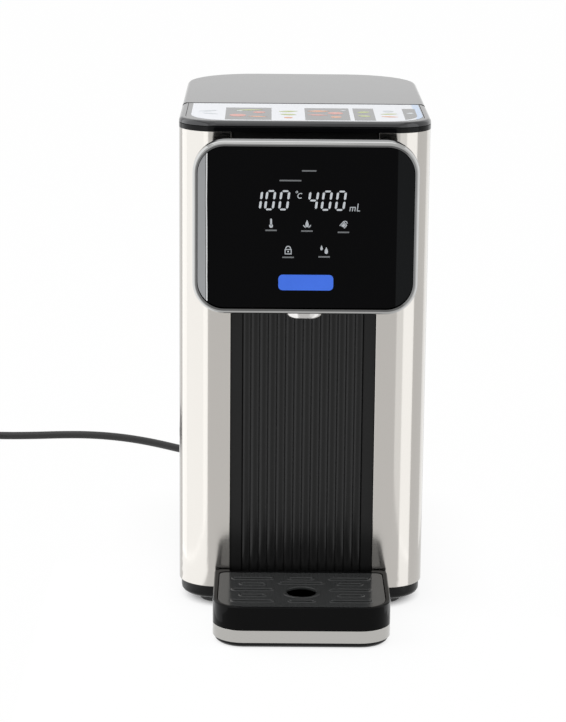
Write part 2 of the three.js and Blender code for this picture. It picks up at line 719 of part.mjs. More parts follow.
function floatGuide() {
  const stop = float.rodHeight - float.stopHeight;
  return turned([
    [0, 0], [float.footRadius, 0], [float.footRadius, float.footHeight],
    [float.rodRadius, float.footHeight], [float.rodRadius, stop], [float.stopRadius, stop],
    [float.stopRadius, float.rodHeight], [0, float.rodHeight],
  ], 16);
}

function tankFloat() {
  return turned([
    [float.bore, 0], [float.radius - float.footHeight, 0], [float.radius, float.footHeight],
    [float.radius, float.height - float.footHeight], [float.radius - float.footHeight, float.height],
    [float.bore, float.height], [float.bore, 0],
  ], 20);
}

const tankFloor = tank.wall + gap;
place(tankGroup, 'water_tank', waterTank(), 'clear');
place(tankGroup, 'tank_strainer', tankStrainer(), 'white', tank.outletX, outletY, tankFloor);
place(tankGroup, 'float_guide', floatGuide(), 'white', float.x, floatY, tankFloor);
place(tankGroup, 'tank_float', tankFloat(), 'white', float.x, floatY, tankFloor + floatRest);

// Flow meter under the tank's outlet, pump on the base, heater behind the fluted panel

const outletEnd = body.top - tank.height - tank.outletLength;
const meterTop = outletEnd - gap;

function flowMeter() {
  const half = meter.width / 2;
  const housing = slab(
    rectangle(-half, half, -meter.depth / 2, meter.depth / 2, meter.spigotRadius),
    -meter.spigotLength - meter.height, -meter.spigotLength, 3,
  );
  const inlet = disc(meter.spigotRadius + tank.wall, -meter.spigotLength - gap, 0, 14);
  const outlet = disc(meter.spigotRadius, -2 * meter.spigotLength - meter.height, -meter.height, 14);
  return joined(housing, inlet, outlet);
}

place(machine, 'flow_meter', flowMeter(), 'white', tank.outletX, outletY, meterTop);

const pumpGroup = new THREE.Group();
pumpGroup.position.set(pump.x, body.depth - pump.fromRear, base.floorTop + gap);
machine.add(pumpGroup);
const pumpAxis = pump.axisHeight - base.floorTop;

// The motor's length runs forwards from the group's origin, the pump head follows in front of it.
function pumpBracket() {
  const length = pump.motorLength + pump.headLength;
  const wide = pump.cradleWidth + 2 * pump.margin;
  const plate = box(-wide / 2, -length, 0, wide, length, pump.plate);
  const cradle = box(
    -pump.cradleWidth / 2, -pump.cradleLength - pump.margin, 0,
    pump.cradleWidth, pump.cradleLength, pumpAxis - pump.motorRadius / 2,
  );
  const seat = turnedAlongY(disc(pump.motorRadius + gap, -length - overrun, overrun, 24))
    .translate([0, 0, pumpAxis]);
  return cut(joined(plate, cradle), seat);
}

function pumpHead() {
  const housing = turnedAlongY(disc(pump.headRadius, -pump.headLength, 0, 24));
  const spigots = [-1, 1].map((side) => disc(
    pump.spigotRadius, 0, pump.headRadius + pump.spigotLength, 12,
  ).translate([side * pump.spigotX, -pump.headLength / 2, 0]));
  return joined(housing, ...spigots);
}

const pumpMotor = () => turnedAlongY(turned([
  [0, -pump.motorLength], [pump.motorRadius, -pump.motorLength], [pump.motorRadius, -pump.plate],
  [pump.motorRadius - pump.plate, 0], [0, 0],
], 24));

place(pumpGroup, 'pump_bracket', pumpBracket(), 'black');
place(pumpGroup, 'pump_motor', pumpMotor(), 'motor', 0, 0, pumpAxis);
place(pumpGroup, 'pump_head', pumpHead(), 'black', 0, -pump.motorLength - gap, pumpAxis);

const heaterGroup = new THREE.Group();
heaterGroup.position.set(heater.x, heater.y, heater.bottom);
machine.add(heaterGroup);

function heaterCap() {
  const edge = heater.spigotRadius / 2;
  return turned([
    [0, 0], [heater.capRadius, 0], [heater.capRadius, heater.capHeight - edge],
    [heater.capRadius - edge, heater.capHeight], [heater.spigotRadius, heater.capHeight],
    [heater.spigotRadius, heater.capHeight + heater.spigotLength],
    [0, heater.capHeight + heater.spigotLength],
  ]);
}

// Plate on the back of the fluted panel with two saddles that hold the heater.
function heaterBracket() {
  const seat = panelBack + gap - heater.y;
  const low = (heater.length - heater.plateHeight) / 2;
  let bracket = box(
    -heater.plateWidth / 2, seat, low, heater.plateWidth, heater.plateSheet, heater.plateHeight,
  );
  for (const side of [-1, 1]) {
    const z = heater.length / 2 + (side * heater.saddlePitch) / 2 - heater.saddleHeight / 2;
    const saddle = box(-heater.saddleWidth / 2, seat, z, heater.saddleWidth, -seat, heater.saddleHeight);
    bracket = bracket.add(saddle);
  }
  return bracket.subtract(disc(heater.radius + gap, -overrun, heater.length + overrun, 28));
}

// Cut-out pressed against the right side of the heater.
function thermalCutout() {
  const from = heater.radius - cutout.tabSheet;
  const block = box(from, -cutout.width / 2, 0, cutout.depth, cutout.width, cutout.height);
  const tabs = [-1, 1].map((side) => box(
    from + cutout.depth - cutout.tabSheet, (side * cutout.width) / 4 - cutout.tabWidth / 2,
    cutout.height - gap, cutout.tabSheet, cutout.tabWidth, cutout.tabLength,
  ));
  return joined(block, ...tabs).subtract(disc(heater.radius + gap, -overrun, cutout.height * 2, 28));
}

function waterProbe() {
  const profile = [
    [0, 0], [probe.radius, 0], [probe.radius, probe.length], [probe.headRadius, probe.length],
    [probe.headRadius, probe.length + probe.headLength], [0, probe.length + probe.headLength],
  ];
  return turnedAlongX(turned(profile, 12));
}

const capSeat = heater.length + gap;
place(heaterGroup, 'heater_tube', disc(heater.radius, 0, heater.length, 28), 'steel');
place(heaterGroup, 'heater_top_cap', heaterCap(), 'white', 0, 0, capSeat);
place(heaterGroup, 'heater_bottom_cap', heaterCap().rotate([180, 0, 0]), 'white', 0, 0, -gap);
place(heaterGroup, 'heater_bracket', heaterBracket(), 'black');
place(heaterGroup, 'thermal_cutout', thermalCutout(), 'black', 0, 0, heater.length / 2);
place(
  heaterGroup, 'water_probe', waterProbe(), 'brass', heater.capRadius + gap, 0,
  capSeat + heater.capHeight / 2 - gap,
);

// Hoses

const pumpFrontY = pumpGroup.position.y - pump.motorLength - gap - pump.headLength / 2;
const pumpSpigotTop = pumpGroup.position.z + pumpAxis + pump.headRadius + pump.spigotLength + gap;
const meterEnd = meterTop - 2 * meter.spigotLength - meter.height - gap;
const heaterLow = heater.bottom - gap - heater.capHeight - heater.spigotLength - gap;
const heaterHigh = heater.bottom + capSeat + heater.capHeight + heater.spigotLength + gap;
const chamberZ = headGroup.position.z + chamberBottom;
const chamberBackY = -(chamberFront - chamber.depth) + chamber.spigotLength + gap;
const up = (p, by) => point(p.x, p.y, p.z + by);
const back = (p, by) => point(p.x, p.y + by, p.z);
const between = (a, b, share) => a.clone().lerp(b, share);

function hoseThrough(points) {
  return tube(points, hose.radius, hose.sides, hose.steps);
}

function tankHose() {
  const from = point(tank.outletX, outletY, meterEnd);
  const to = point(pump.x - pump.spigotX, pumpFrontY, pumpSpigotTop);
  return hoseThrough([
    from, up(from, -hose.straight), between(up(from, -hose.straight), up(to, hose.straight), 1 / 2),
    up(to, hose.straight), to,
  ]);
}

function pumpHose() {
  const from = point(pump.x + pump.spigotX, pumpFrontY, pumpSpigotTop);
  const to = point(heater.x, heater.y, heaterLow);
  const [start, end] = [up(from, hose.straight), up(to, -hose.straight)];
  return hoseThrough([
    from, start, up(between(start, end, 1 / 4), hose.straight / 2),
    up(between(start, end, 3 / 4), -hose.straight), end, to,
  ]);
}

function heaterHose() {
  const from = point(heater.x, heater.y, heaterHigh);
  const to = point(chamber.spigotRadius, chamberBackY, chamberZ + chamber.height / 2);
  return hoseThrough([
    from, up(from, hose.straight / 2), up(from, hose.straight),
    point((from.x + to.x) / 2, panelBack, to.z), back(to, hose.straight), to,
  ]);
}

function steamHose() {
  const roof = chamberZ + chamber.height + chamber.spigotLength + gap;
  const from = point(0, chamber.depth / 2 - chamberFront, roof);
  const to = point(tank.ventX, tankOuter.front - tank.ventLength - gap, steamHeight);
  const bend = back(up(from, (to.z - from.z) / 2), hose.radius);
  return hoseThrough([
    from, up(from, hose.straight / 2), back(bend, hose.radius), point(0, 0, to.z),
    back(to, -2 * hose.straight), back(to, -hose.straight), to,
  ]);
}

place(machine, 'tank_hose', tankHose(), 'silicone');
place(machine, 'pump_hose', pumpHose(), 'silicone');
place(machine, 'heater_hose', heaterHose(), 'silicone');
place(machine, 'steam_hose', steamHose(), 'silicone');

// Electronics on their carrier; x runs inwards from the carrier's outer face

const boardGroup = new THREE.Group();
boardGroup.position.set(-body.width / 2 + board.fromSide, board.fromFront, base.floorTop + gap);
machine.add(boardGroup);
const boardX = board.carrierSheet + board.postLength + gap;
const boardZ = board.bottom - base.floorTop;

function boardCarrier() {
  const high = boardZ + board.height + board.carrierMargin;
  const long = board.width + 2 * board.carrierMargin;
  let carrier = joined(
    box(0, -board.carrierMargin, 0, board.carrierSheet, long, high),
    box(0, -board.carrierMargin, 0, board.footWidth, long, board.footSheet),
  );
  for (const y of [board.postInset, board.width - board.postInset]) {
    for (const z of [board.postInset, board.height - board.postInset]) {
      const post = turnedAlongX(disc(board.postRadius, -board.carrierSheet / 2, board.postLength, 10));
      carrier = carrier.add(post.translate([board.carrierSheet, y, boardZ + z]));
    }
  }
  return carrier;
}

// Large parts on the circuit board: place along it, place up it, length, height and reach.
const boardPartShares = [
  [0.08, 0.16, 0.26, 0.26, 0.2], [0.42, 0.14, 0.18, 0.14, 0.14], [0.7, 0.12, 0.2, 0.12, 0.12],
  [0.06, 1.1, 0.2, 0.1, 0.08], [0.72, 0.34, 0.16, 0.2, 0.1],
];

// Circuit board with its large parts: transformer, relay, capacitors and connectors.
function powerBoard() {
  let made = box(0, 0, 0, board.sheet, board.width, board.height);
  for (const shares of boardPartShares) {
    const [y, z, width, height, reach] = shares.map((share) => share * board.width);
    made = made.add(box(board.sheet / 2, y, z, reach + board.sheet / 2, width, height));
  }
  const can = turnedAlongX(disc(board.canRadius, board.sheet / 2, board.canLength, 14));
  return made.add(can.translate([0, board.width / 2, board.height / 3]));
}

function heatSink() {
  let made = box(0, 0, 0, sink.base, sink.width, sink.height);
  const count = Math.floor((sink.width - sink.finSheet) / sink.finPitch) + 1;
  for (let i = 0; i < count; i += 1) {
    const y = i * sink.finPitch;
    made = made.add(box(sink.base / 2, y, 0, sink.base / 2 + sink.finHeight, sink.finSheet, sink.height));
  }
  return made;
}

function terminalBlock() {
  let block = box(
    -terminal.width / 2, -terminal.depth / 2, 0, terminal.width, terminal.depth, terminal.height,
  );
  const wells = 3;
  for (let i = 0; i < wells; i += 1) {
    const x = (i - (wells - 1) / 2) * (terminal.width / wells);
    block = block.subtract(box(
      x - terminal.wellWidth / 2, -terminal.wellWidth / 2, terminal.height - terminal.wellDepth,
      terminal.wellWidth, terminal.wellWidth, terminal.wellDepth + overrun,
    ));
  }
  return block;
}

place(boardGroup, 'board_carrier', boardCarrier(), 'white');
place(boardGroup, 'power_board', powerBoard(), 'circuit', boardX, 0, boardZ);
place(
  boardGroup, 'heat_sink', heatSink(), 'aluminium',
  boardX + board.sheet + gap, (board.width - sink.width) / 2,
  boardZ + board.height - sink.height - board.postInset / 2,
);
place(
  machine, 'terminal_block', terminalBlock(), 'white',
  lead.x, body.depth - terminal.fromRear - terminal.depth / 2, base.floorTop + gap,
);

// Inner end of the mains lead, from the gland to the terminal block.
function innerMains() {
  const from = point(lead.x, body.depth - gland.inside - gap, lead.height);
  const middle = base.floorTop + gap + terminal.height / 2;
  const to = point(lead.x, body.depth - terminal.fromRear + gap, middle);
  const [start, end] = [back(from, -innerLead.straight), back(to, innerLead.straight)];
  return tube([from, start, end, to], innerLead.radius, hose.sides, hose.steps);
}

place(machine, 'inner_mains', innerMains(), 'rubber');

// Flat ribbon from the display board back through the port and down to the power board.
function displayCable() {
  const from = point(ribbon.width / 2 - chamber.width, gap - boardBack, neckCentre);
  const to = point(
    boardGroup.position.x + boardX + board.sheet / 2, board.fromFront + board.postInset + ribbon.width,
    boardGroup.position.z + boardZ + board.height,
  );
  const section = new THREE.Shape(ring(rectangle(
    -ribbon.width / 2, ribbon.width / 2, -ribbon.sheet / 2, ribbon.sheet / 2, ribbon.sheet / 4,
  ), 1));
  const port = point(from.x, 0, from.z);
  const route = [
    from, between(from, port, 1 / 2), port, between(port, up(to, ribbon.fall), 1 / 2),
    up(to, ribbon.fall), up(to, ribbon.fall / 2), up(to, gap),
  ];
  return swept(section, route, ribbon.steps);
}

place(machine, 'display_cable', displayCable(), 'black');

// Drip tray, from the table; y runs forwards as negative from the docking gap

const trayGroup = new THREE.Group();
trayGroup.position.y = -tray.standOff;
machine.add(trayGroup);
const trayOutline = {
  left: -tray.width / 2, right: tray.width / 2, front: -tray.reach, rear: 0,
  frontRadius: tray.frontRadius, rearRadius: tray.rearRadius,
};
const grilleOutline = {
  left: trayOutline.left + tray.sideRim, right: trayOutline.right - tray.sideRim,
  front: trayOutline.front + tray.frontRim, rear: -tray.rearRim,
  frontRadius: tray.frontRadius - tray.sideRim, rearRadius: tray.rearRadius,
};
const basinTop = tray.top - grille.sink;
const grilleBottom = basinTop - grille.sheet;

// Foot of the tray with the two tongues that run under the body.
function trayBase() {
  const outline = inset(trayOutline, tray.baseInset);
  const foot = loft([
    { points: ring(inset(outline, tray.baseInset)), z: tray.lift },
    { points: ring(outline), z: tray.lift + tray.baseInset },
    { points: ring(outline), z: tray.baseTop },
  ]);
  const tongues = [-1, 1].map((side) => box(
    side * tongueX - tray.tongueWidth / 2, -tray.rearRim, tray.lift,
    tray.tongueWidth, tray.rearRim + tray.tongueLength, tray.tongueSheet,
  ));
  return joined(foot, ...tongues);
}

// Steel band round the front and sides, open at the rear.
function trayBand() {
  const from = tray.baseTop + gap;
  const band = cut(
    slab(trayOutline, from, tray.bandTop),
    slab(inset(trayOutline, tray.bandSheet), from - overrun, tray.bandTop + overrun),
  );
  const opening = box(
    trayOutline.left + tray.rearRadius, -tray.rearRadius, from - overrun,
    tray.width - 2 * tray.rearRadius, tray.rearRadius + overrun, tray.bandTop - from + 2 * overrun,
  );
  return band.subtract(opening);
}

function trayBody() {
  const low = tray.baseTop + gap;
  const rimBottom = tray.bandTop + gap;
  const rim = loft([
    { points: ring(trayOutline), z: rimBottom },
    { points: ring(trayOutline), z: tray.top - tray.edgeRound },
    { points: ring(inset(trayOutline, tray.edgeRound)), z: tray.top },
  ]);
  const cup = slab(inset(trayOutline, tray.bandSheet + gap), low, rimBottom + gap);
  const seat = slab(inset(grilleOutline, -slide), grilleBottom - gap, tray.top + overrun);
  const basin = slab(inset(grilleOutline, tray.ledge), low + tray.floor, tray.top);
  return cut(joined(rim, cup), seat, basin);
}

function grilleSlot(x, y, length) {
  return slotAt(x, y, length, grille.slotWidth, grilleBottom - overrun, basinTop + overrun, 2);
}

function dripGrille() {
  const plate = slab(grilleOutline, grilleBottom, basinTop);
  const lipOutline = inset(grilleOutline, tray.ledge + slide);
  const lipBottom = grilleBottom - grille.lipDrop;
  const lip = cut(
    slab(lipOutline, lipBottom, grilleBottom + gap),
    slab(inset(lipOutline, grille.lipWall), lipBottom - overrun, grilleBottom + overrun),
  );
  const rowsY = tray.standOff - grille.rowsReach;
  const drain = disc(grille.holeRadius, grilleBottom - overrun, basinTop + overrun, 28);
  const slots = [];
  for (let row = -2; row <= 2; row += 1) {
    const length = row % 2 === 0 ? grille.longSlot : grille.shortSlot;
    for (const x of [-grille.columnX, grille.columnX]) {
      slots.push(grilleSlot(x, rowsY + row * grille.rowPitch, length));
    }
  }
  slots.push(grilleSlot(0, rowsY - grille.midNear, grille.shortSlot));
  slots.push(grilleSlot(0, rowsY + grille.midNear, grille.shortSlot));
  slots.push(grilleSlot(0, rowsY + grille.midFar, grille.midSlot));
  return cut(joined(plate, lip), drain.translate([0, rowsY - grille.holeForward, 0]), ...slots);
}

place(trayGroup, 'tray_base', trayBase(), 'skirt');
place(trayGroup, 'tray_band', trayBand(), 'steel');
place(trayGroup, 'tray_body', trayBody(), 'glossBlack');
place(trayGroup, 'drip_grille', dripGrille(), 'grilleGrey');

// Mains lead

const leadRest = lead.radius; // height of the lead's axis on the table
const bootEnd = body.depth + gap + gland.length;

// Grommet through the rear wall with a grooved, tapered boot.
function cordGland() {
  const profile = [
    [0, -gland.inside], [gland.shankRadius, -gland.inside], [gland.shankRadius, gap],
    [gland.flangeRadius, gap], [gland.flangeRadius, gap + gland.flangeSheet],
  ];
  const run = gland.length - gland.flangeSheet;
  for (let i = 0; i < gland.grooves; i += 1) {
    for (const [share, depth] of [[0, 0], [1 / 2, 0], [2 / 3, gland.grooveDepth]]) {
      const along = (i + share) / gland.grooves;
      const radius = gland.bootRadius + (gland.tipRadius - gland.bootRadius) * along - depth;
      profile.push([radius, gap + gland.flangeSheet + along * run]);
    }
  }
  profile.push([gland.tipRadius, gap + gland.length], [0, gap + gland.length]);
  return turnedAlongY(turned(profile, gland.facets));
}

// Free stretch, from the end of the boot: out, down to the table and away to the left.
const leadRoute = [
  [0, 0.3], [0, 4], [0, 8], [-0.6, 15], [-2, 27], [-4.8, 40], [-9.4, 54.5], [-16.6, 69], [-27, 82.2],
  [-40, 93.6], [-57, 106], [-75, 118.6], [-92.5, 132.6], [-111.5, 145.6], [-134.5, 156.6],
  [-158.5, 162.4], [-182, 162.6], [-206, 159.8], [-226, 158.2], [-242, 157.9], [-258, 157.9],
  [-272, 157.9], [-279, 157.9], [-286, 157.9],
];
// Height above the table along it: first shares of the gland's height, at its end of the coil's lift.
const fallShares = [1, 1, 1, 0.985, 0.91, 0.74, 0.47, 0.2, 0.05, 0.004];
const riseShares = [0.1, 0.6, 1, 1, 1];

function leadPoint([x, y], i) {
  const fall = (fallShares[i] ?? 0) * (lead.height - leadRest);
  const rise = (riseShares[i + riseShares.length - leadRoute.length] ?? 0) * coil.lift;
  return point(lead.x + x, bootEnd + y, leadRest + fall + rise);
}

const leadPoints = leadRoute.map(leadPoint);
const coilStart = leadPoints.at(-1);
const coilX = coilStart.x - gap - coil.straight;

const turnPitch = 2 * lead.radius + coil.turnGap;
const coilHalf = (coil.turns * turnPitch) / 4;
const coilOuter = coil.meanRadius + coilHalf;
const coilInner = coil.meanRadius - coilHalf;
const coilLow = leadRest + coil.lift;
const coilY = coilStart.y - coilOuter;

// Two layers: the turns run inwards on the table, climb half a turn and run outwards on top.
function coilPoint(turn) {
  const fromMiddle = turn - coil.turns / 2;
  const radius = coilInner + turnPitch * Math.abs(fromMiddle);
  const climb = THREE.MathUtils.smoothstep(fromMiddle, -0.25, 0.25);
  const angle = Math.PI / 2 + turn * 2 * Math.PI;
  return point(
    coilX + radius * Math.cos(angle), coilY + radius * Math.sin(angle), coilLow + climb * turnPitch,
  );
}

function coilRoute() {
  const steps = Math.round(coil.turns * coil.stepsPerTurn);
  const points = [point(coilX + coil.straight, coilY + coilOuter, coilLow)];
  for (let i = 0; i <= steps; i += 1) points.push(coilPoint((i / steps) * coil.turns));
  const last = points.at(-1);
  points.push(point(last.x, last.y - coil.tail, last.z));
  return points;
}

// A tube joined ring by ring, each ring square to the route's direction and kept upright.
function woundTube(points, radius, sides) {
  const position = [];
  const vertical = point(0, 0, 1);
  points.forEach((p, i) => {
    const ahead = points[Math.min(i + 1, points.length - 1)];
    const behind = points[Math.max(i - 1, 0)];
    const along = ahead.clone().sub(behind).normalize();
    const across = along.clone().cross(vertical).normalize();
    const over = across.clone().cross(along);
    for (let k = 0; k < sides; k += 1) {
      const angle = ((k + 0.5) / sides) * 2 * Math.PI;
      const spot = p.clone().addScaledVector(across, radius * Math.cos(angle))
        .addScaledVector(over, radius * Math.sin(angle));
      position.push(spot.x, spot.y, spot.z);
    }
  });
  const index = [];
  for (let i = 0; i + 1 < points.length; i += 1) {
    for (let k = 0; k < sides; k += 1) {
      const [a, b] = [i * sides + k, i * sides + ((k + 1) % sides)];
      index.push(a, b + sides, b, a, a + sides, b + sides);
    }
  }
  const end = (points.length - 1) * sides;
  for (let k = 1; k + 1 < sides; k += 1) index.push(0, k, k + 1, end, end + k + 1, end + k);
  const geometry = new THREE.BufferGeometry();
  geometry.setAttribute('position', new THREE.Float32BufferAttribute(position, 3));
  geometry.setIndex(index);
  return solid(geometry);
}

function lengthOf(points) {
  return points.slice(1).reduce((sum, p, i) => sum + p.distanceTo(points[i]), 0);
}

// Least distance between stretches of the coil that lie at least a third of a turn apart.
function leastCoilGap(points) {
  const apart = Math.round(coil.stepsPerTurn / 3);
  let least = Infinity;
  points.forEach((p, i) => {
    for (let k = i + apart; k < points.length; k += 1) least = Math.min(least, p.distanceTo(points[k]));
  });
  return least - 2 * lead.radius;
}

const coilPoints = coilRoute();
const plugEnd = coilPoints.at(-1);

// Strap round the bundle on the right side of the coil, where the turns bend away within its width.
function coilTie() {
  const bend = tie.width ** 2 / (4 * coilInner);
  const bundleIn = coilOuter - (7 / 4) * turnPitch - lead.radius - bend;
  const bundleOut = coilOuter - turnPitch / 2 + lead.radius + slide;
  const bottom = coilLow - lead.radius - gap;
  const top = coilLow + turnPitch + lead.radius + gap;
  const hollow = rectangle(bundleIn - gap, bundleOut, bottom, top, tie.round);
  const strap = cut(
    slab(inset(hollow, -tie.sheet), -tie.width / 2, tie.width / 2, 4),
    slab(hollow, -tie.width, tie.width, 4),
  );
  return strap.rotate([90, 0, 0]);
}

// Flat three-blade plug; its cable enters at the origin and the pins point away along -y.
function mainsPlug() {
  const bodyHeight = plug.height;
  const outline = rectangle(
    -plug.width / 2, plug.width / 2, -bodyHeight / 2, bodyHeight / 2, plug.round,
  );
  const half = plug.neckRadius;
  const neck = rectangle(-half, half, -half, half, half - squareRadius);
  const housing = loft([
    { points: ring(neck, 5), z: 0 },
    { points: ring(neck, 5), z: plug.neckLength / 2 },
    { points: ring(inset(outline, plug.round / 2), 5), z: plug.neckLength + plug.round },
    { points: ring(outline, 5), z: plug.neckLength + plug.round * 2 },
    { points: ring(outline, 5), z: plug.length - plug.round / 2 },
    { points: ring(inset(outline, plug.round / 4), 5), z: plug.length },
  ]);
  const blade = (length) => box(
    -plug.pinWidth / 2, -plug.pinSheet / 2, plug.length - gap, plug.pinWidth, plug.pinSheet, length + gap,
  );
  const earth = blade(plug.earthLength).rotate([0, 0, 90]).translate([0, -plug.earthOffset, 0]);
  const poles = [-1, 1].map((side) => blade(plug.pinLength).rotate([0, 0, side * (90 - plug.pinTilt)])
    .translate([side * plug.pinOffset, plug.pinOffset / 2, 0]));
  return joined(housing, earth, ...poles).rotate([90, 0, 0]);
}

place(machine, 'cord_gland', cordGland(), 'rubber', lead.x, body.depth, lead.height);
place(machine, 'mains_cord', tube(leadPoints, lead.radius, lead.sides, lead.steps), 'rubber');
place(machine, 'cord_coil', woundTube(coilPoints, lead.radius, coil.sides), 'rubber');
place(machine, 'coil_tie', coilTie(), 'black', coilX, coilY);
place(machine, 'mains_plug', mainsPlug(), 'black', plugEnd.x, plugEnd.y - gap, plugEnd.z);

const leadLength = new THREE.CatmullRomCurve3(leadPoints, false, 'centripetal').getLength();
console.log('lead length', (leadLength + lengthOf(coilPoints)).toFixed(0));
console.log('least gap of the coil to itself', leastCoilGap(coilPoints).toFixed(2));
console.log('float travel', floatTravel.toFixed(1));

export default assembly;
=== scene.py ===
import json
import math
import bmesh
import bpy
from mathutils import Matrix, Vector
from mathutils.geometry import tessellate_polygon

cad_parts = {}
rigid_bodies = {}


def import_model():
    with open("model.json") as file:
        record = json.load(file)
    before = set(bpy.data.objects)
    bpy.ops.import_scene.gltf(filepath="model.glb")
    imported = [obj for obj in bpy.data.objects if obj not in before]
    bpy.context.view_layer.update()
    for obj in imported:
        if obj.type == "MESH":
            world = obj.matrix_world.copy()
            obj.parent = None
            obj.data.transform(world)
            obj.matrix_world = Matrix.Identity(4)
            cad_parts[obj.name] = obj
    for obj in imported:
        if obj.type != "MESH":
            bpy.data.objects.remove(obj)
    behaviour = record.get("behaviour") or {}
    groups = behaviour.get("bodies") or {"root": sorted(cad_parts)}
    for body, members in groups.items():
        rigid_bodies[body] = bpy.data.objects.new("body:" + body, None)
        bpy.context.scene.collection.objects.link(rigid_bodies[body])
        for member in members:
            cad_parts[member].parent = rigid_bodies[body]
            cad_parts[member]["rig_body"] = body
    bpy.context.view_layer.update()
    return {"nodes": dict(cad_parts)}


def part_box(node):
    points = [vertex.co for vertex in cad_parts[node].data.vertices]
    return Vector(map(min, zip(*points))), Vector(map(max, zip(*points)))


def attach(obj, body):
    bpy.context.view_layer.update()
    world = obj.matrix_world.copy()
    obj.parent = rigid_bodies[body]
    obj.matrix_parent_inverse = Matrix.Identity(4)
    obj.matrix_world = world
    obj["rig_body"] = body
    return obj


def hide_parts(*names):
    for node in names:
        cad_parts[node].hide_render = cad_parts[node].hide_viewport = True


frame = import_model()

# Countertop hot-water dispenser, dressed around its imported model. Metres, z up, front towards -y.
# Sizes in the dictionaries are in mm, apart from those of the camera and the studio
mm = 0.001
nodes = frame["nodes"]


def bodyOf(node):
    return nodes[node]["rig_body"]


def newObject(name, data):
    made = bpy.data.objects.new(name, data)
    bpy.context.scene.collection.objects.link(made)
    return made


# Camera, at the height and distance of the picture

view = {
    "place": (-0.0259, -1.84065, 0.6091), "yaw": 0.0066, "pitch": -0.2365, "roll": 0.0091,
    "focalShare": 3.4548,  # focal length over the picture's height
    "sensor": 36, "reach": 60,
}


def makeCamera():
    yaw, pitch, roll = view["yaw"], view["pitch"], view["roll"]
    ahead = Vector((math.sin(yaw) * math.cos(pitch), math.cos(yaw) * math.cos(pitch), math.sin(pitch)))
    right = Vector((math.cos(yaw), -math.sin(yaw), 0))
    up = right.cross(ahead)
    across = right * math.cos(roll) + up * math.sin(roll)
    over = up * math.cos(roll) - right * math.sin(roll)
    turn = Matrix((across, over, -ahead)).transposed().to_4x4()
    camera = bpy.data.cameras.new("camera")
    camera.sensor_width = view["sensor"]
    camera.lens = view["focalShare"] * view["sensor"]
    camera.clip_end = view["reach"]
    seat = newObject("camera", camera)
    seat.matrix_world = Matrix.Translation(view["place"]) @ turn
    bpy.context.scene.camera = seat
    bpy.context.scene.view_settings.view_transform = "Standard"


makeCamera()
print("camera set")


# Shader sums: a socket that can be added, multiplied, compared and so on

class Signal:
    def __init__(self, made, socket):
        self.made, self.socket = made, socket

    def math(self, kind, *values):
        return self.made.math(kind, *values)

    def __add__(self, other):
        return self.math("ADD", self, other)

    __radd__ = __add__

    def __sub__(self, other):
        return self.math("SUBTRACT", self, other)

    def __rsub__(self, other):
        return self.math("SUBTRACT", other, self)

    def __mul__(self, other):
        return self.math("MULTIPLY", self, other)

    __rmul__ = __mul__

    def __truediv__(self, other):
        return self.math("DIVIDE", self, other)

    def __rtruediv__(self, other):
        return self.math("DIVIDE", other, self)

    def __gt__(self, other):
        return self.math("GREATER_THAN", self, other)

    def __lt__(self, other):
        return self.math("LESS_THAN", self, other)

    def above(self, least):
        return self.math("MAXIMUM", self, least)

    def below(self, most):
        return self.math("MINIMUM", self, most)

    def clipped(self):
        return self.above(0.0).below(1.0)

    def rising(self, low, high):  # 0 below low, 1 above high
        return ((self - low) / (high - low)).clipped()

    def near(self, value, within):
        return self.math("COMPARE", self, value, within)

    def size(self):
        return self.math("ABSOLUTE", self)

    def root(self):
        return self.math("SQRT", self)

    def whole(self):
        return self.math("FLOOR", self)

    def part(self):
        return self.math("FRACT", self)


class Nodes:
    def __init__(self, tree):
        self.tree = tree
        tree.nodes.clear()

    def add(self, kind, settings=None, values=None, out=0):
        node = self.tree.nodes.new(kind)
        for key, value in (settings or {}).items():
            setattr(node, key, value)
        for key, value in (values or {}).items():
            if isinstance(value, Signal):
                self.tree.links.new(value.socket, node.inputs[key])
            else:
                node.inputs[key].default_value = value
        return Signal(self, node.outputs[out]) if len(node.outputs) else node

    def math(self, kind, *values):
        return self.add("ShaderNodeMath", {"operation": kind}, dict(enumerate(values)))

    def place(self):
        return self.add("ShaderNodeTexCoord", out=3)

    def axes(self):  # x, y and z in metres
        parts = self.add("ShaderNodeSeparateXYZ", values={0: self.place()}).socket.node
        return [Signal(self, parts.outputs[i]) for i in range(3)]

    def stretched(self, sx, sy, sz):
        return self.add("ShaderNodeMapping", values={0: self.place(), "Scale": (sx, sy, sz)})

    def sightRays(self):  # from the camera, and in a reflection or through something clear
        path = self.add("ShaderNodeLightPath").socket.node
        kinds = ("Camera", "Glossy", "Transmission")
        seen, mirrored, through = [Signal(self, path.outputs[f"Is {kind} Ray"]) for kind in kinds]
        return seen, (mirrored + through).clipped()

    def noise(self, vector, scale=1.0, detail=2.0):
        return self.add("ShaderNodeTexNoise", values={"Vector": vector, "Scale": scale, "Detail": detail})

    def blend(self, share, *colours):
        ends = [colour if isinstance(colour, Signal) else (*colour, 1) for colour in colours]
        return self.add("ShaderNodeMix", {"data_type": "RGBA"}, {0: share, 6: ends[0], 7: ends[1]}, out=2)

    def bump(self, height, depth, strength):  # depth in mm
        return self.add("ShaderNodeBump", values={
            "Height": height, "Distance": depth * mm, "Strength": strength,
        })

    def principled(self, **sockets):
        named = {key.replace("_", " "): value for key, value in sockets.items()}
        return self.add("ShaderNodeBsdfPrincipled", values=named)

    def show(self, surface, kind="Material"):
        self.add(f"ShaderNodeOutput{kind}", values={"Surface": surface})


looks = {}


def newLook(name):
    material = bpy.data.materials.new(name)
    material.use_nodes = True
    looks[name] = material
    return Nodes(material.node_tree)


def rgb(*seen):
    # 0 to 255 as seen on the object, by the usual screen curve to what a shader takes
    return tuple(((v / 255 + 0.055) / 1.055) ** 2.4 if v > 10 else v / 255 / 12.92 for v in seen)


def shades(tone, shares):
    return [tuple(value * share for value in tone) for share in shares]


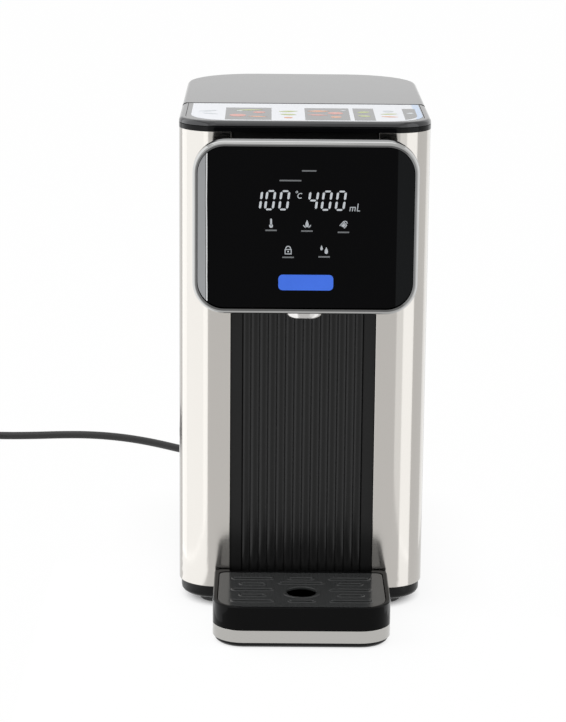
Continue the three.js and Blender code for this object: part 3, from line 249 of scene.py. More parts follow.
# Brushed sheet: hairlines run level round the wrap, so they blur reflections up and down
brushed = {
    "hairs": (26, 26, 2600), "patches": (9, 9, 22), "shades": (0.9, 1.08), "hairTone": 0.10,
    "patchTone": 0.06, "hairRough": 0.08, "patchRough": 0.05, "bump": 0.35, "stretch": 0.55, "turn": 0.25,
}
metals = {  # tone, roughness and depth of the hairlines
    "steel": ((0.495, 0.475, 0.447), 0.13, 0.02),
    "bandSteel": ((0.46, 0.45, 0.43), 0.16, 0.02),
    "heaterSteel": ((0.55, 0.54, 0.53), 0.3, 0.02),
    "silver": ((0.50, 0.49, 0.48), 0.24, 0.01),
    "bareAluminium": ((0.62, 0.63, 0.64), 0.34, 0.02),
    "motorCan": ((0.42, 0.42, 0.43), 0.36, 0.02),
    "brassRod": ((0.62, 0.45, 0.18), 0.28, 0.02),
}


def brushedLook(name, tone, rough, depth):
    made = newLook(name)
    hairs = made.noise(made.stretched(*brushed["hairs"]), detail=3)
    patches = made.noise(made.stretched(*brushed["patches"]))
    grain = (hairs - 0.5) * brushed["hairTone"] + (patches - 0.5) * brushed["patchTone"]
    made.show(made.principled(
        Metallic=1.0, Anisotropic=brushed["stretch"], Anisotropic_Rotation=brushed["turn"],
        Base_Color=made.blend(grain + 0.5, *shades(tone, brushed["shades"])),
        Roughness=rough + (hairs - 0.5) * brushed["hairRough"] + (patches - 0.5) * brushed["patchRough"],
        Normal=made.bump(hairs, depth, brushed["bump"]),
    ))


# Moulded plastic and smooth plating: fine grain in the bump, slight changes in sheen, dust-dull patches
moulded = {"patchScale": 34, "shades": (0.92, 1.1), "bump": 0.6}
plastics = {  # tone, roughness, size and depth of the grain, strength of the patches, other sockets
    "chrome": ((0.36, 0.36, 0.355), 0.07, 6, 0.002, 0.02, {"Metallic": 1.0}),
    "ringLip": ((0.11, 0.11, 0.11), 0.16, 3, 0.003, 0.03, {"Metallic": 1.0}),
    "glossBlack": ((0.0035, 0.0035, 0.004), 0.07, 3, 0.003, 0.03, {"Specular IOR Level": 0.11}),
    "trayBlack": ((0.0008, 0.0008, 0.0009), 0.07, 3, 0.003, 0.03, {"Specular IOR Level": 0.08}),
    "coverBlack": ((0.009, 0.009, 0.011), 0.10, 3, 0.003, 0.04, {"Specular IOR Level": 0.6}),
    "labelBlack": ((0.012, 0.012, 0.013), 0.12, 3, 0.002, 0.04, {"Specular IOR Level": 0.6}),
    "grilleGrey": ((0.036, 0.037, 0.037), 0.16, 0.5, 0.004, 0.05, {"Specular IOR Level": 0.45}),
    "fluted": ((0.008, 0.008, 0.008), 0.24, 0.6, 0.004, 0.06, {"Specular IOR Level": 0.2}),
    "skirt": ((0.005, 0.005, 0.005), 0.26, 0.4, 0.006, 0.08, {"Specular IOR Level": 0.15}),
    "rubber": ((0.010, 0.010, 0.010), 0.62, 0.4, 0.015, 0.1, {}),
    "cordSheath": ((0.012, 0.012, 0.012), 0.42, 0.8, 0.008, 0.1, {}),
    "matBlack": ((0.012, 0.012, 0.012), 0.46, 0.4, 0.008, 0.1, {}),
    "whitePlastic": ((0.70, 0.70, 0.67), 0.34, 0.6, 0.004, 0.06, {}),
    "siliconeHose": ((0.62, 0.60, 0.55), 0.45, 0.8, 0.005, 0.06, {}),
}
glassPrint = (0.35, 0.4, 0.001, 0.03, {"Specular IOR Level": 0.1})
stripPrint = (0.2, 2, 0.002, 0.04, {"Specular IOR Level": 0.35})
inks = {
    "litPrint": (rgb(204, 208, 212), glassPrint), "keyPrint": (rgb(186, 190, 194), glassPrint),
    "faintPrint": (rgb(116, 118, 120), glassPrint), "bluePrint": (rgb(72, 118, 232), glassPrint),
    "printSalmon": (rgb(214, 120, 100), stripPrint), "printOrange": (rgb(222, 140, 84), stripPrint),
    "printLeaf": (rgb(170, 184, 76), stripPrint), "printPale": (rgb(196, 202, 206), stripPrint),
}


def mouldedLook(name, tone, rough, grainSize, grainDepth, patch, sockets):
    made = newLook(name)
    grain = made.noise(made.place(), scale=1 / (grainSize * mm))
    patches = made.noise(made.place(), scale=moulded["patchScale"], detail=3)
    made.show(made.principled(
        Base_Color=made.blend(patches, *shades(tone, moulded["shades"])),
        Roughness=rough + (patches - 0.5) * patch + (grain - 0.5) * patch / 2,
        Normal=made.bump(grain, grainDepth, moulded["bump"]), **sockets,
    ))


for name, finish in metals.items():
    brushedLook(name, *finish)
for name, finish in plastics.items():
    mouldedLook(name, *finish)
for name, (tone, finish) in inks.items():
    mouldedLook(name, tone, *finish)

# Printed board: green film, copper tracks on a grid under it and tinned pads
board = {
    "pitch": 2.54, "track": 0.12, "level": 0.35, "upright": 0.6, "padSize": 0.07, "pads": 0.72,
    "film": (0.010, 0.060, 0.025), "copper": (0.020, 0.105, 0.045), "tin": (0.55, 0.54, 0.50),
    "tinMetal": 0.9, "rough": 0.32, "trackSheen": 0.06, "padDull": 0.05, "depth": 0.03, "bump": 0.5,
}


def makeBoardLook():
    made = newLook("boardGreen")
    x, y, z = [axis / (board["pitch"] * mm) for axis in made.axes()]
    cell = made.add("ShaderNodeCombineXYZ", values={0: x.whole(), 1: y.whole(), 2: z.whole()})
    choice = made.add("ShaderNodeTexWhiteNoise", {"noise_dimensions": "3D"}, {0: cell})
    across, rise = x.part() - 0.5, z.part() - 0.5
    level = (across.size() < board["track"]) * (choice > board["level"])
    upright = (rise.size() < board["track"]) * (choice < board["upright"])
    track = (level + upright).clipped()
    pad = ((across * across + rise * rise) < board["padSize"]) * (choice > board["pads"])
    green = made.blend(track, board["film"], board["copper"])
    made.show(made.principled(
        Specular_IOR_Level=0.5, Metallic=pad * board["tinMetal"],
        Base_Color=made.blend(pad, green, board["tin"]),
        Roughness=board["rough"] - track * board["trackSheen"] + pad * board["padDull"],
        Normal=made.bump(track + pad, board["depth"], board["bump"]),
    ))


# Frosted tank plastic: clear enough to see the level, with flow marks from moulding
tankPlastic = {
    "tone": (0.72, 0.76, 0.78), "shades": (0.94, 1.04), "clear": 0.55, "index": 1.49, "flow": (7, 7, 30),
    "fineScale": 900, "rough": 0.3, "flowRough": 0.12, "depth": 0.004, "bump": 0.5,
}


def makeTankLook():
    made = newLook("frosted")
    flow = made.noise(made.stretched(*tankPlastic["flow"]), detail=3)
    fine = made.noise(made.place(), scale=tankPlastic["fineScale"])
    made.show(made.principled(
        Transmission_Weight=tankPlastic["clear"], IOR=tankPlastic["index"], Specular_IOR_Level=0.5,
        Base_Color=made.blend(flow, *shades(tankPlastic["tone"], tankPlastic["shades"])),
        Roughness=tankPlastic["rough"] + (flow - 0.5) * tankPlastic["flowRough"],
        Normal=made.bump(fine, tankPlastic["depth"], tankPlastic["bump"]),
    ))


makeBoardLook()
makeTankLook()
print("finishes ready:", len(looks))


# Mesh helpers

def meshObject(name, built):
    mesh = bpy.data.meshes.new(name)
    built.to_mesh(mesh)
    built.free()
    return newObject(name, mesh)


def finishMesh(name, built, look, node, sharp=32, printed=False):
    # look is one finish, or several that the faces choose from. A print only lies on its node
    bmesh.ops.recalc_face_normals(built, faces=built.faces)
    for face in built.faces:
        face.smooth = True
    for edge in built.edges:
        edge.smooth = edge.is_manifold and edge.calc_face_angle(0) < math.radians(sharp)
    piece = meshObject(name, built)
    for each in [look] if isinstance(look, str) else look:
        piece.data.materials.append(looks[each])
    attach(piece, bodyOf(node))
    if not printed:
        steady = piece.modifiers.new("flats stay flat", "WEIGHTED_NORMAL")
        steady.keep_sharp = True
        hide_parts(node)
    return piece


def roundedLoop(left, right, low, high, radius, steps=8, lowRadius=None):
    lowRadius = radius if lowRadius is None else lowRadius
    corners = [
        (right, low, -1, 1, -90, lowRadius), (right, high, -1, -1, 0, radius),
        (left, high, 1, -1, 90, radius), (left, low, 1, 1, 180, lowRadius),
    ]
    points = []
    for x, y, inX, inY, start, r in corners:
        for i in range(steps + 1):
            angle = math.radians(start + 90 * i / steps)
            points.append((x + inX * r + r * math.cos(angle), y + inY * r + r * math.sin(angle)))
    return points


def wallFaces(built, lower, upper):
    pairs = [(i, (i + 1) % len(lower)) for i in range(len(lower))]
    return [built.faces.new((lower[i], lower[k], upper[k], upper[i])) for i, k in pairs]


def loftInto(built, loops, closed=False):
    rings = [[built.verts.new(point) for point in loop] for loop in loops]
    for lower, upper in zip(rings, rings[1:] + (rings[:1] if closed else [])):
        wallFaces(built, lower, upper)
    if not closed:
        built.faces.new(list(reversed(rings[0])))
        built.faces.new(rings[-1])


def flat(x, y, z):
    return Vector((x, y, z)) * mm


# A plate with holes. Outline and holes are functions that give their points set back by a distance
def plateInto(built, outline, holes, low, high, edge=0.0, edgeSteps=2, at=flat, index=0):
    turns = [math.radians(90 * i / edgeSteps) for i in range(edgeSteps + 1)] if edge else [math.radians(90)]
    levels = [(edge * (1 - math.sin(t)), low + edge * (1 - math.cos(t))) for t in turns]
    levels += [(back, high + low - z) for back, z in reversed(levels)]
    shapes = [(1, outline)] + [(-1, hole) for hole in holes]
    top, bottom, faces = [], [], []
    for way, shape in shapes:
        rings = [[built.verts.new(at(x, y, z)) for x, y in shape(way * back)] for back, z in levels]
        for lower, upper in zip(rings, rings[1:]):
            faces += wallFaces(built, lower, upper)
        bottom.append(rings[0])
        top.append(rings[-1])
    flatRings = [[Vector((*point, 0)) for point in shape(way * levels[0][0])] for way, shape in shapes]
    for cap in (bottom, top):
        verts = [vert for ring in cap for vert in ring]
        faces += [built.faces.new([verts[i] for i in corners]) for corners in tessellate_polygon(flatRings)]
    for face in faces:
        face.material_index = index


def pill(x, y, length, width, steps=6):
    return lambda back: roundedLoop(
        x - length / 2 + back, x + length / 2 - back, y - width / 2 + back, y + width / 2 - back,
        width / 2 - back, steps,
    )


def rounded(left, right, low, high, radius, steps, lowRadius, least=0.2):
    return lambda back: roundedLoop(
        left + back, right - back, low + back, high - back, max(radius - back, least), steps,
        max(lowRadius - back, least),
    )


def disc(x, y, radius, steps):
    turns = [2 * math.pi * i / steps for i in range(steps)]
    ways = [(math.cos(turn), math.sin(turn)) for turn in turns]
    return lambda back: [(x + (radius - back) * c, y + (radius - back) * s) for c, s in ways]


def latheInto(built, profile, segments, node):
    # profile is a closed run of (radius, height) about the node's middle. It closes where it meets the axis
    low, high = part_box(node)
    middle = Vector(((low.x + high.x) / 2, (low.y + high.y) / 2, 0))
    turns = [2 * math.pi * i / segments for i in range(segments)]
    rings = []
    for radius, height in profile:
        spots = [(radius * math.cos(turn), radius * math.sin(turn), height) for turn in turns]
        spots = spots if radius else spots[:1]
        rings.append([built.verts.new(middle + Vector(spot) * mm) for spot in spots])
    for lower, upper in zip(rings, rings[1:] + rings[:1]):
        if len(lower) == len(upper) == 1:
            continue
        for i in range(segments):
            k = (i + 1) % segments
            corners = [ring[j % len(ring)] for ring, j in ((lower, i), (lower, k), (upper, k), (upper, i))]
            built.faces.new(list(dict.fromkeys(corners)))


cleaning = {"joinWithin": 0.005, "flatWithin": 0.5, "breakOver": 30}  # mm, degrees, degrees


def copyOf(node):
    built = bmesh.new()
    built.from_mesh(nodes[node].data)
    bmesh.ops.remove_doubles(built, verts=built.verts, dist=cleaning["joinWithin"] * mm)
    level = math.radians(cleaning["flatWithin"])
    bmesh.ops.dissolve_limit(built, angle_limit=level, verts=built.verts, edges=built.edges)
    return built


# The node's own form with its edges broken, as moulded and sheet parts have them
def finePiece(node, name, look, edge, steps=2):
    built = copyOf(node)
    over = math.radians(cleaning["breakOver"])
    sharpEdges = [e for e in built.edges if e.is_manifold and e.calc_face_angle(0) > over]
    bmesh.ops.bevel(
        built, geom=sharpEdges, offset=edge * mm, segments=steps, profile=0.5, affect="EDGES",
        clamp_overlap=False,
    )
    return finishMesh(name, built, look, node)


# Mains lead: the stretch over the table and the coil are one curve

lead = {
    "x": -30, "bootEnd": 213.55, "radius": 3.5, "glandHeight": 32, "coilLift": 1.2, "roundSteps": 5,
    "stepsPerPoint": 4,
}
leadRoute = [
    (0, 0.3), (0, 4), (0, 8), (-0.6, 15), (-2, 27), (-4.8, 40), (-9.4, 54.5), (-16.6, 69), (-27, 82.2),
    (-40, 93.6), (-57, 106), (-75, 118.6), (-92.5, 132.6), (-111.5, 145.6), (-134.5, 156.6),
    (-158.5, 162.4), (-182, 162.6), (-206, 159.8), (-226, 158.2), (-242, 157.9), (-258, 157.9),
    (-272, 157.9), (-279, 157.9), (-286, 157.9),
]
fallShares = [1, 1, 1, 0.985, 0.91, 0.74, 0.47, 0.2, 0.05, 0.004]  # of the gland's height, from the gland
riseShares = [0.1, 0.6, 1, 1, 1]  # of the coil's lift, up to the coil
coil = {
    "meanRadius": 41.3, "turns": 4.25, "stepsPerTurn": 24, "turnGap": 0.7, "climbTurns": 0.5,
    "straight": 7, "tail": 32, "gap": 0.3,
}


def leadPoints():
    points = []
    for i, (x, y) in enumerate(leadRoute):
        fromEnd = i - (len(leadRoute) - len(riseShares))
        fall = fallShares[i] if i < len(fallShares) else 0
        rise = riseShares[fromEnd] if fromEnd >= 0 else 0
        z = lead["radius"] + fall * (lead["glandHeight"] - lead["radius"]) + rise * lead["coilLift"]
        points.append(Vector((lead["x"] + x, lead["bootEnd"] + y, z)))
    return points


def coilPoints(start):
    # inwards on the table, a climb in the middle, and outwards on top
    pitch = 2 * lead["radius"] + coil["turnGap"]
    half = coil["turns"] * pitch / 4
    outer, inner = coil["meanRadius"] + half, coil["meanRadius"] - half
    x, y, z = start.x - coil["gap"] - coil["straight"], start.y - outer, start.z
    points = [Vector((x + coil["straight"], y + outer, z))]
    steps = round(coil["turns"] * coil["stepsPerTurn"])
    for i in range(steps + 1):
        turn = i / steps * coil["turns"]
        fromMiddle = turn - coil["turns"] / 2
        radius = inner + pitch * abs(fromMiddle)
        share = min(max((fromMiddle + coil["climbTurns"] / 2) / coil["climbTurns"], 0), 1)
        climb = share * share * (3 - 2 * share)
        angle = math.pi / 2 + turn * 2 * math.pi
        points.append(Vector((x + radius * math.cos(angle), y + radius * math.sin(angle), z + climb * pitch)))
    last = points[-1]
    points.append(Vector((last.x, last.y - coil["tail"], last.z)))
    return points


def makeCord():
    free = leadPoints()
    points = free + coilPoints(free[-1])
    curve = bpy.data.curves.new("mainsLead", "CURVE")
    curve.dimensions = "3D"
    curve.bevel_depth = lead["radius"] * mm
    curve.bevel_resolution = lead["roundSteps"]
    curve.resolution_u = lead["stepsPerPoint"]
    curve.use_fill_caps = True
    line = curve.splines.new("BEZIER")
    line.bezier_points.add(len(points) - 1)
    for knot, point in zip(line.bezier_points, points):
        knot.co = point * mm
        knot.handle_left_type = knot.handle_right_type = "AUTO"
    cord = newObject("mainsLead", curve)
    curve.materials.append(looks["cordSheath"])
    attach(cord, bodyOf("mains_cord"))
    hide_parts("mains_cord", "cord_coil")
    gland = finePiece("cord_gland", "glandBoot", "rubber", edge=0.2)
    strap = finePiece("coil_tie", "coilStrap", "matBlack", edge=0.2)
    plug = finePiece("mains_plug", "plugBody", "matBlack", edge=0.5)


makeCord()
print("lead laid")


# Plain studio: a white floor that keeps the shadow, soft boxes beside, above and in front, and floor strips

studio = {
    "floor": 12.0, "floorColour": 0.80, "contactFrom": -0.013, "contactTo": 0.001, "contactWhite": 0.88,
    "shadowReach": 0.06, "whiteFar": 0.985, "whiteMirrored": 0.95, "world": 0.60,
    "lampColour": (0.97, 0.985, 1.0), "machineMiddle": (0, 0, 0.2),
}
# what stands over the floor, and the radius of its corners there
footprints = {"steel_shell": 0.04, "tray_base": 0.02}
# place of the middle, width, height, how bright each looks and where it faces
boxes = {
    "leftFrontBox": ((-0.19, -0.287, 0.25), 0.12, 0.50, 3.25, "across"),
    "leftBox": ((-0.19, -0.144, 0.25), 0.164, 0.50, 2.75, "across"),
    "leftRearBox": ((-0.19, -0.024, 0.25), 0.074, 0.50, 3.25, "across"),
    "rightBox": ((0.19, -0.166, 0.25), 0.115, 0.50, 2.7, "across"),
    "rightDimBox": ((0.19, -0.324, 0.25), 0.20, 0.50, 1.15, "across"),
    "rearRightBox": ((0.19, 0.077, 0.25), 0.15, 0.50, 1.25, "across"),
    "topBox": ((-0.2, -0.05, 2.1), 1.7, 1.7, 3.3, "machine"),
    "frontBox": ((-0.5, -2.6, 1.9), 1.2, 1.2, 2.4, "machine"),
}
# the strips carry the upright boxes on towards the wrap: side, front and rear end near it and far off, level
strips = {"count": 5, "near": 0.1, "far": 0.19, "height": 0.002}
fans = {
    "left": (-1, (-0.158, -0.066), (-0.347, 0.013), 2.65),
    "right": (1, (-0.122, -0.091), (-0.2235, -0.1085), 2.4),
}


def awayFrom(x, y, node):
    # distance on the floor from the outline of a node, less than zero under it
    low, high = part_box(node)
    radius = footprints[node]
    across = (x - (low.x + high.x) / 2).size() - (high.x - low.x) / 2 + radius
    along = (y - (low.y + high.y) / 2).size() - (high.y - low.y) / 2 + radius
    outX, outY = across.above(0.0), along.above(0.0)
    return (outX * outX + outY * outY).root() + across.above(along).below(0.0) - radius


def makeFloor():
    built = bmesh.new()
    reach = studio["floor"]
    corners = [(-reach, -reach), (reach, -reach), (reach, reach), (-reach, reach)]
    built.faces.new([built.verts.new((x, y, 0)) for x, y in corners])
    floor = meshObject("floor", built)
    made = newLook("floorPaint")
    camera, mirrored = made.sightRays()
    x, y = made.axes()[:2]
    byWrap, byTray = [awayFrom(x, y, node) for node in footprints]
    away = byWrap.below(byTray)
    contact = away.rising(studio["contactFrom"], studio["contactTo"]) * studio["contactWhite"]
    further = away.rising(studio["contactTo"], studio["shadowReach"])
    shown = contact + further * (studio["whiteFar"] - studio["contactWhite"])
    paint = made.principled(
        Roughness=0.9, Specular_IOR_Level=0.0,
        Base_Color=made.blend(camera, [studio["floorColour"]] * 3, (1, 1, 1)),
    )
    glow = made.add("ShaderNodeEmission", values={"Color": (1, 1, 1, 1), "Strength": 1.0})
    white = camera * shown + mirrored * studio["whiteMirrored"]
    made.show(made.add("ShaderNodeMixShader", values={0: white, 1: paint, 2: glow}))
    floor.data.materials.append(looks["floorPaint"])


def makeWorld():
    world = bpy.data.worlds.new("studio")
    bpy.context.scene.world = world
    world.use_nodes = True
    air = Nodes(world.node_tree)
    camera, mirrored = air.sightRays()
    seen = camera + mirrored
    strength = seen + (1 - seen) * studio["world"]
    air.show(air.add("ShaderNodeBackground", values={"Color": (1, 1, 1, 1), "Strength": strength}), "World")


def softBox(name, place, width, height, level, facing):
    light = bpy.data.lights.new(name, "AREA")
    light.shape = "RECTANGLE"
    light.size, light.size_y = width, height
    light.energy = level * width * height
    light.color = studio["lampColour"]
    lamp = newObject(name, light)
    lamp.location = place
    if facing == "up":
        lamp.rotation_euler = (math.pi, 0, 0)
    else:
        target = {"across": (0, place[1], place[2]), "machine": studio["machineMiddle"]}[facing]
        lamp.rotation_euler = (Vector(target) - Vector(place)).to_track_quat("-Z", "Y").to_euler()
    lamp.visible_camera = False


def layStrips(name, side, near, far, level):
    width = (strips["far"] - strips["near"]) / strips["count"]
    for i in range(strips["count"]):
        share = (i + 0.5) / strips["count"]
        front, rear = [start + (end - start) * share for start, end in zip(near, far)]
        place = (side * (strips["near"] + (i + 0.5) * width), (front + rear) / 2, strips["height"])
        softBox(f"{name}Strip.{i}", place, width, rear - front, level, "up")


makeFloor()
makeWorld()
for name, settings in boxes.items():
    softBox(name, *settings)
for name, settings in fans.items():
    layStrips(name, *settings)
print("studio ready")


# Body

finePiece("steel_shell", "steelWrap", "steel", edge=0.45, steps=3)
finePiece("base_frame", "baseSkirt", "skirt", edge=0.3)
finePiece("bottom_plate", "baseDoor", "matBlack", edge=0.2)

flutes = {
    "count": 14, "pitch": 6.26, "depth": 1.2, "crown": 0.8, "slit": 0.34, "slitDepth": 1.6, "slitFoot": 0.6,
    "stepsPerRib": 10, "plainFrom": 341, "fade": 2, "backAt": 3.4, "returnWall": 2,
    "port": 30, "portLow": 260.15, "portHigh": 326.15, "portPast": 10,
}


def cutBox(piece, low, high):
    built = bmesh.new()
    bmesh.ops.create_cube(built, size=1)
    bmesh.ops.scale(built, vec=[b - a for a, b in zip(low, high)], verts=built.verts)
    bmesh.ops.translate(built, vec=[(a + b) / 2 for a, b in zip(low, high)], verts=built.verts)
    cutter = meshObject("cutter", built)
    away = piece.modifiers.new("cut", "BOOLEAN")
    away.operation, away.solver, away.object = "DIFFERENCE", "EXACT", cutter
    made = bpy.data.meshes.new_from_object(piece.evaluated_get(bpy.context.evaluated_depsgraph_get()))
    piece.modifiers.remove(away)
    piece.data = made
    bpy.data.objects.remove(cutter)


def flutedLine(front, half, ribbed):
    # front line of the panel seen from above, from left to right
    start = -flutes["count"] * flutes["pitch"] / 2
    slit = flutes["slit"] / 2
    slitFoot = flutes["slitFoot"] * slit
    line = [(-half, front), (start - slit, front)]
    for i in range(flutes["count"] + 1):
        x = start + i * flutes["pitch"]
        side = flutes["depth"] if ribbed else 0
        floor = flutes["slitDepth"] if ribbed else 0
        if i > 0:
            line.append((x - slit, front + side))
        line += [(x - slitFoot, front + floor), (x + slitFoot, front + floor)]
        if i < flutes["count"]:
            for k in range(flutes["stepsPerRib"]):
                share = k / flutes["stepsPerRib"]
                rise = side * (1 - math.sin(math.pi * share) ** flutes["crown"])
                line.append((x + slit + share * (flutes["pitch"] - 2 * slit), front + rise))
    return line + [(-start + slit, front), (half, front)]


def makeFlutedPanel():
    low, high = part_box("channel_panel")
    front, half, back = low.y / mm, high.x / mm, high.y / mm
    inner, behind = half - flutes["returnWall"], front + flutes["backAt"]
    rear = [(half, back), (inner, back), (inner, behind), (-inner, behind), (-inner, back), (-half, back)]
    plain = flutes["plainFrom"]
    heights = [(low.z / mm, True), (plain, True), (plain + flutes["fade"], False), (high.z / mm, False)]
    built = bmesh.new()
    loftInto(built, [
        [flat(x, y, z) for x, y in flutedLine(front, half, ribbed) + rear] for z, ribbed in heights
    ])
    panel = finishMesh("flutedPanel", built, "fluted", "channel_panel")
    port, past = flutes["port"] * mm, flutes["portPast"] * mm
    lowest = (-port, low.y - past, flutes["portLow"] * mm)
    cutBox(panel, lowest, (port, high.y + past, flutes["portHigh"] * mm))


makeFlutedPanel()

foot = {
    "radius": 12.5, "topRadius": 11.6, "chamfer": 1.2, "edgeIn": 0.3, "edgeUp": 0.4, "dimple": 4.5,
    "dimpleUp": 0.6, "segments": 48,
}


def makeFoot(node):
    low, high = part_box(node)
    top = (high.z - low.z) / mm
    radius, dimple, up = foot["radius"], foot["dimple"], foot["dimpleUp"]
    profile = [
        (0, up), (dimple, up), (dimple + up, 0), (radius - foot["chamfer"], 0),
        (radius - foot["edgeIn"], foot["edgeUp"]), (radius, foot["chamfer"]),
        (foot["topRadius"], top), (0, top),
    ]
    built = bmesh.new()
    latheInto(built, profile, foot["segments"], node)
    finishMesh("rubber_" + node, built, "rubber", node, sharp=40)


for corner in ("foot_front_left", "foot_front_right", "foot_rear_left", "foot_rear_right"):
    makeFoot(corner)
print("body dressed")


# Control head

finePiece("head_shell", "headHousing", "glossBlack", edge=0.3)

bezel = {
    "side": 3.2, "top": 3.9, "radius": 22, "round": 1.9, "crest": 0.1, "lip": 0.9, "bright": 1.95,
    "topDrop": 0.65, "bottomDrop": 0.75, "arcSteps": 8, "cornerSteps": 14,
}


def makeBezel():
    low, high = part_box("head_bezel")
    left, right, front, back = low.x / mm, high.x / mm, low.y / mm, high.y / mm
    bottom, top = low.z / mm - bezel["bottomDrop"], high.z / mm - bezel["topDrop"]
    side, radius = bezel["side"], bezel["radius"]

    def loop(share, y):  # share 0 is the outer edge and 1 the inner one
        inset = side * share
        points = roundedLoop(
            left + inset, right - inset, bottom + inset, top - bezel["top"] * share, radius - inset,
            bezel["cornerSteps"],
        )
        return [flat(x, y, z) for x, z in points]

    loops = [loop(0, back), loop(0, front + bezel["bright"])]
    for i in range(bezel["arcSteps"] + 1):
        angle = math.radians(90 * i / bezel["arcSteps"])
        share = bezel["round"] / side * (1 - math.cos(angle))
        loops.append(loop(share, front + bezel["round"] * (1 - math.sin(angle))))
    loops.append(loop((bezel["round"] + bezel["crest"]) / side, front))
    loops += [loop(1, front + bezel["lip"]), loop(1, back)]
    built = bmesh.new()
    loftInto(built, loops, closed=True)
    # black side wall, bright rim, and the dark lip round the glass, which takes the last three runs of faces
    for i, face in enumerate(built.faces):
        run = i // len(loops[0])
        face.material_index = 2 if run == 0 else int(run >= len(loops) - 3)
    finishMesh("brightRing", built, ("chrome", "ringLip", "glossBlack"), "head_bezel", sharp=24)


makeBezel()

# Touch glass: near black, with painted reflections in its colour: a grey strip and a pale line at its left
# edge and a faint strip at its right, set by place across the glass
glass = {
    "greyReflectionEnd": -68.9, "leftSoft": 0.15, "paleReflectionLine": -68.1, "lineHalf": 0.45, "lineShare": 0.9,
    "faintReflectionStart": 62.8, "rightSoft": 0.3, "waver": 1.6, "waverScale": (1, 1, 26),
    "black": rgb(7, 7, 8), "faint": rgb(26, 27, 28), "grey": rgb(158, 159, 160), "paintedPaleReflection": rgb(225, 226, 226),
    "dustScale": 90, "rough": 0.05, "dustRough": 0.04, "gloss": 0.03,
}


def makeGlassLook():
    made = newLook("touchGlass")
    x = made.axes()[0] / mm
    edge = x + (made.noise(made.stretched(*glass["waverScale"]), detail=1) - 0.5) * glass["waver"]
    # painted reflection masks on x: the grey strip and pale line at the left, with a wavering edge, and the
    # faint strip at the right
    grey = 1 - edge.rising(glass["greyReflectionEnd"] - glass["leftSoft"], glass["greyReflectionEnd"] + glass["leftSoft"])
    faint = x.rising(glass["faintReflectionStart"] - glass["rightSoft"], glass["faintReflectionStart"] + glass["rightSoft"])
    dust = made.noise(made.place(), scale=glass["dustScale"], detail=3)
    # the painted reflections go into the base colour, over the near-black glass
    base = made.blend(faint, glass["black"], glass["faint"])
    base = made.blend(grey, base, glass["grey"])
    line = edge.near(glass["paleReflectionLine"], glass["lineHalf"]) * glass["lineShare"]
    base = made.blend(line, base, glass["paintedPaleReflection"])
    made.show(made.principled(
        Specular_IOR_Level=glass["gloss"], Base_Color=base,
        Roughness=glass["rough"] + dust * glass["dustRough"],
    ))


makeGlassLook()
finePiece("touch_glass", "glassPanel", "touchGlass", edge=0.35, steps=3)

# Readings, a thin print on the glass: x of each digit and which of its seven strokes are lit
readings = {
    "width": 6.9, "height": 14, "base": 308.5, "upright": 1.6, "level": 1.25, "gap": 0.5, "lean": 0.13,
    "temperature": [(-34.4, "bc"), (-25.5, "abcdef"), (-15.8, "abcdef")],
    "volume": [(4.0, "bcfg"), (13.3, "abcdef"), (23.0, "abcdef")],
    "film": 0.06, "unitBase": 308.2,
}


def bar(x1, z1, x2, z2, thick):
    # a stroke with pointed ends, the way a reading is built up
    along = Vector((x2 - x1, z2 - z1)).normalized()
    side = Vector((-along.y, along.x)) * thick / 2
    start, end = Vector((x1, z1)), Vector((x2, z2))
    tip = along * thick / 2
    return [start, start + tip - side, end - tip - side, end, end - tip + side, start + tip + side]


def strokesOf(centre, lit):
    gap, level, upright = readings["gap"], readings["level"], readings["upright"]
    half = (readings["width"] - upright) / 2
    left, right = centre - half, centre + half
    low, high = readings["base"] + level / 2, readings["base"] + readings["height"] - level / 2
    middle = (low + high) / 2
    lines = {
        "a": (left + gap, high, right - gap, high, level),
        "b": (right, middle + gap, right, high - gap, upright),
        "c": (right, low + gap, right, middle - gap, upright),
        "d": (left + gap, low, right - gap, low, level),
        "e": (left, low + gap, left, middle - gap, upright),
        "f": (left, middle + gap, left, high - gap, upright),
        "g": (left + gap, middle, right - gap, middle, level),
    }
    return [bar(*lines[key]) for key in lit]


def leaning(loops, base):
    return [[(x + (z - base) * readings["lean"], z) for x, z in loop] for loop in loops]


def dropLoop(x, z, width, height, steps=22, pinch=1.3):
    # round below and pointed above
    points = []
    for i in range(steps):
        turn = 2 * math.pi * i / steps
        squeeze = math.sin(turn / 2) ** pinch
        points.append((x + width / 2 * math.sin(turn) * squeeze, z + height / 2 * math.cos(turn)))
    return points


def arcBand(x, z, outer, inner, start, end, steps=16):
    turns = [math.radians(start + (end - start) * i / steps) for i in range(steps + 1)]
    rim = [(x + outer * math.cos(t), z + outer * math.sin(t)) for t in turns]
    return rim + [(x + inner * math.cos(t), z + inner * math.sin(t)) for t in reversed(turns)]


def blockLoop(left, right, low, high, radius=0.2, steps=3):
    return roundedLoop(left, right, low, high, radius, steps)


def turned(points, x, z, angle):
    c, s = math.cos(math.radians(angle)), math.sin(math.radians(angle))
    return [(x + px * c - pz * s, z + px * s + pz * c) for px, pz in points]


# Unit marks: a ring and an open arc for the temperature, strokes for the volume
unitShapes = [
    arcBand(-8.0, 321.3, 0.85, 0.4, 0, 359, 18), arcBand(-5.3, 318.7, 2.0, 1.35, 50, 310),
    blockLoop(29.9, 30.5, 308.2, 311.2), blockLoop(31.6, 32.2, 308.2, 310.7),
    blockLoop(33.3, 33.9, 308.2, 310.7), blockLoop(30.5, 33.9, 310.7, 311.3),
    blockLoop(34.9, 35.5, 308.2, 313.6), blockLoop(35.5, 37.1, 308.2, 308.8),
]
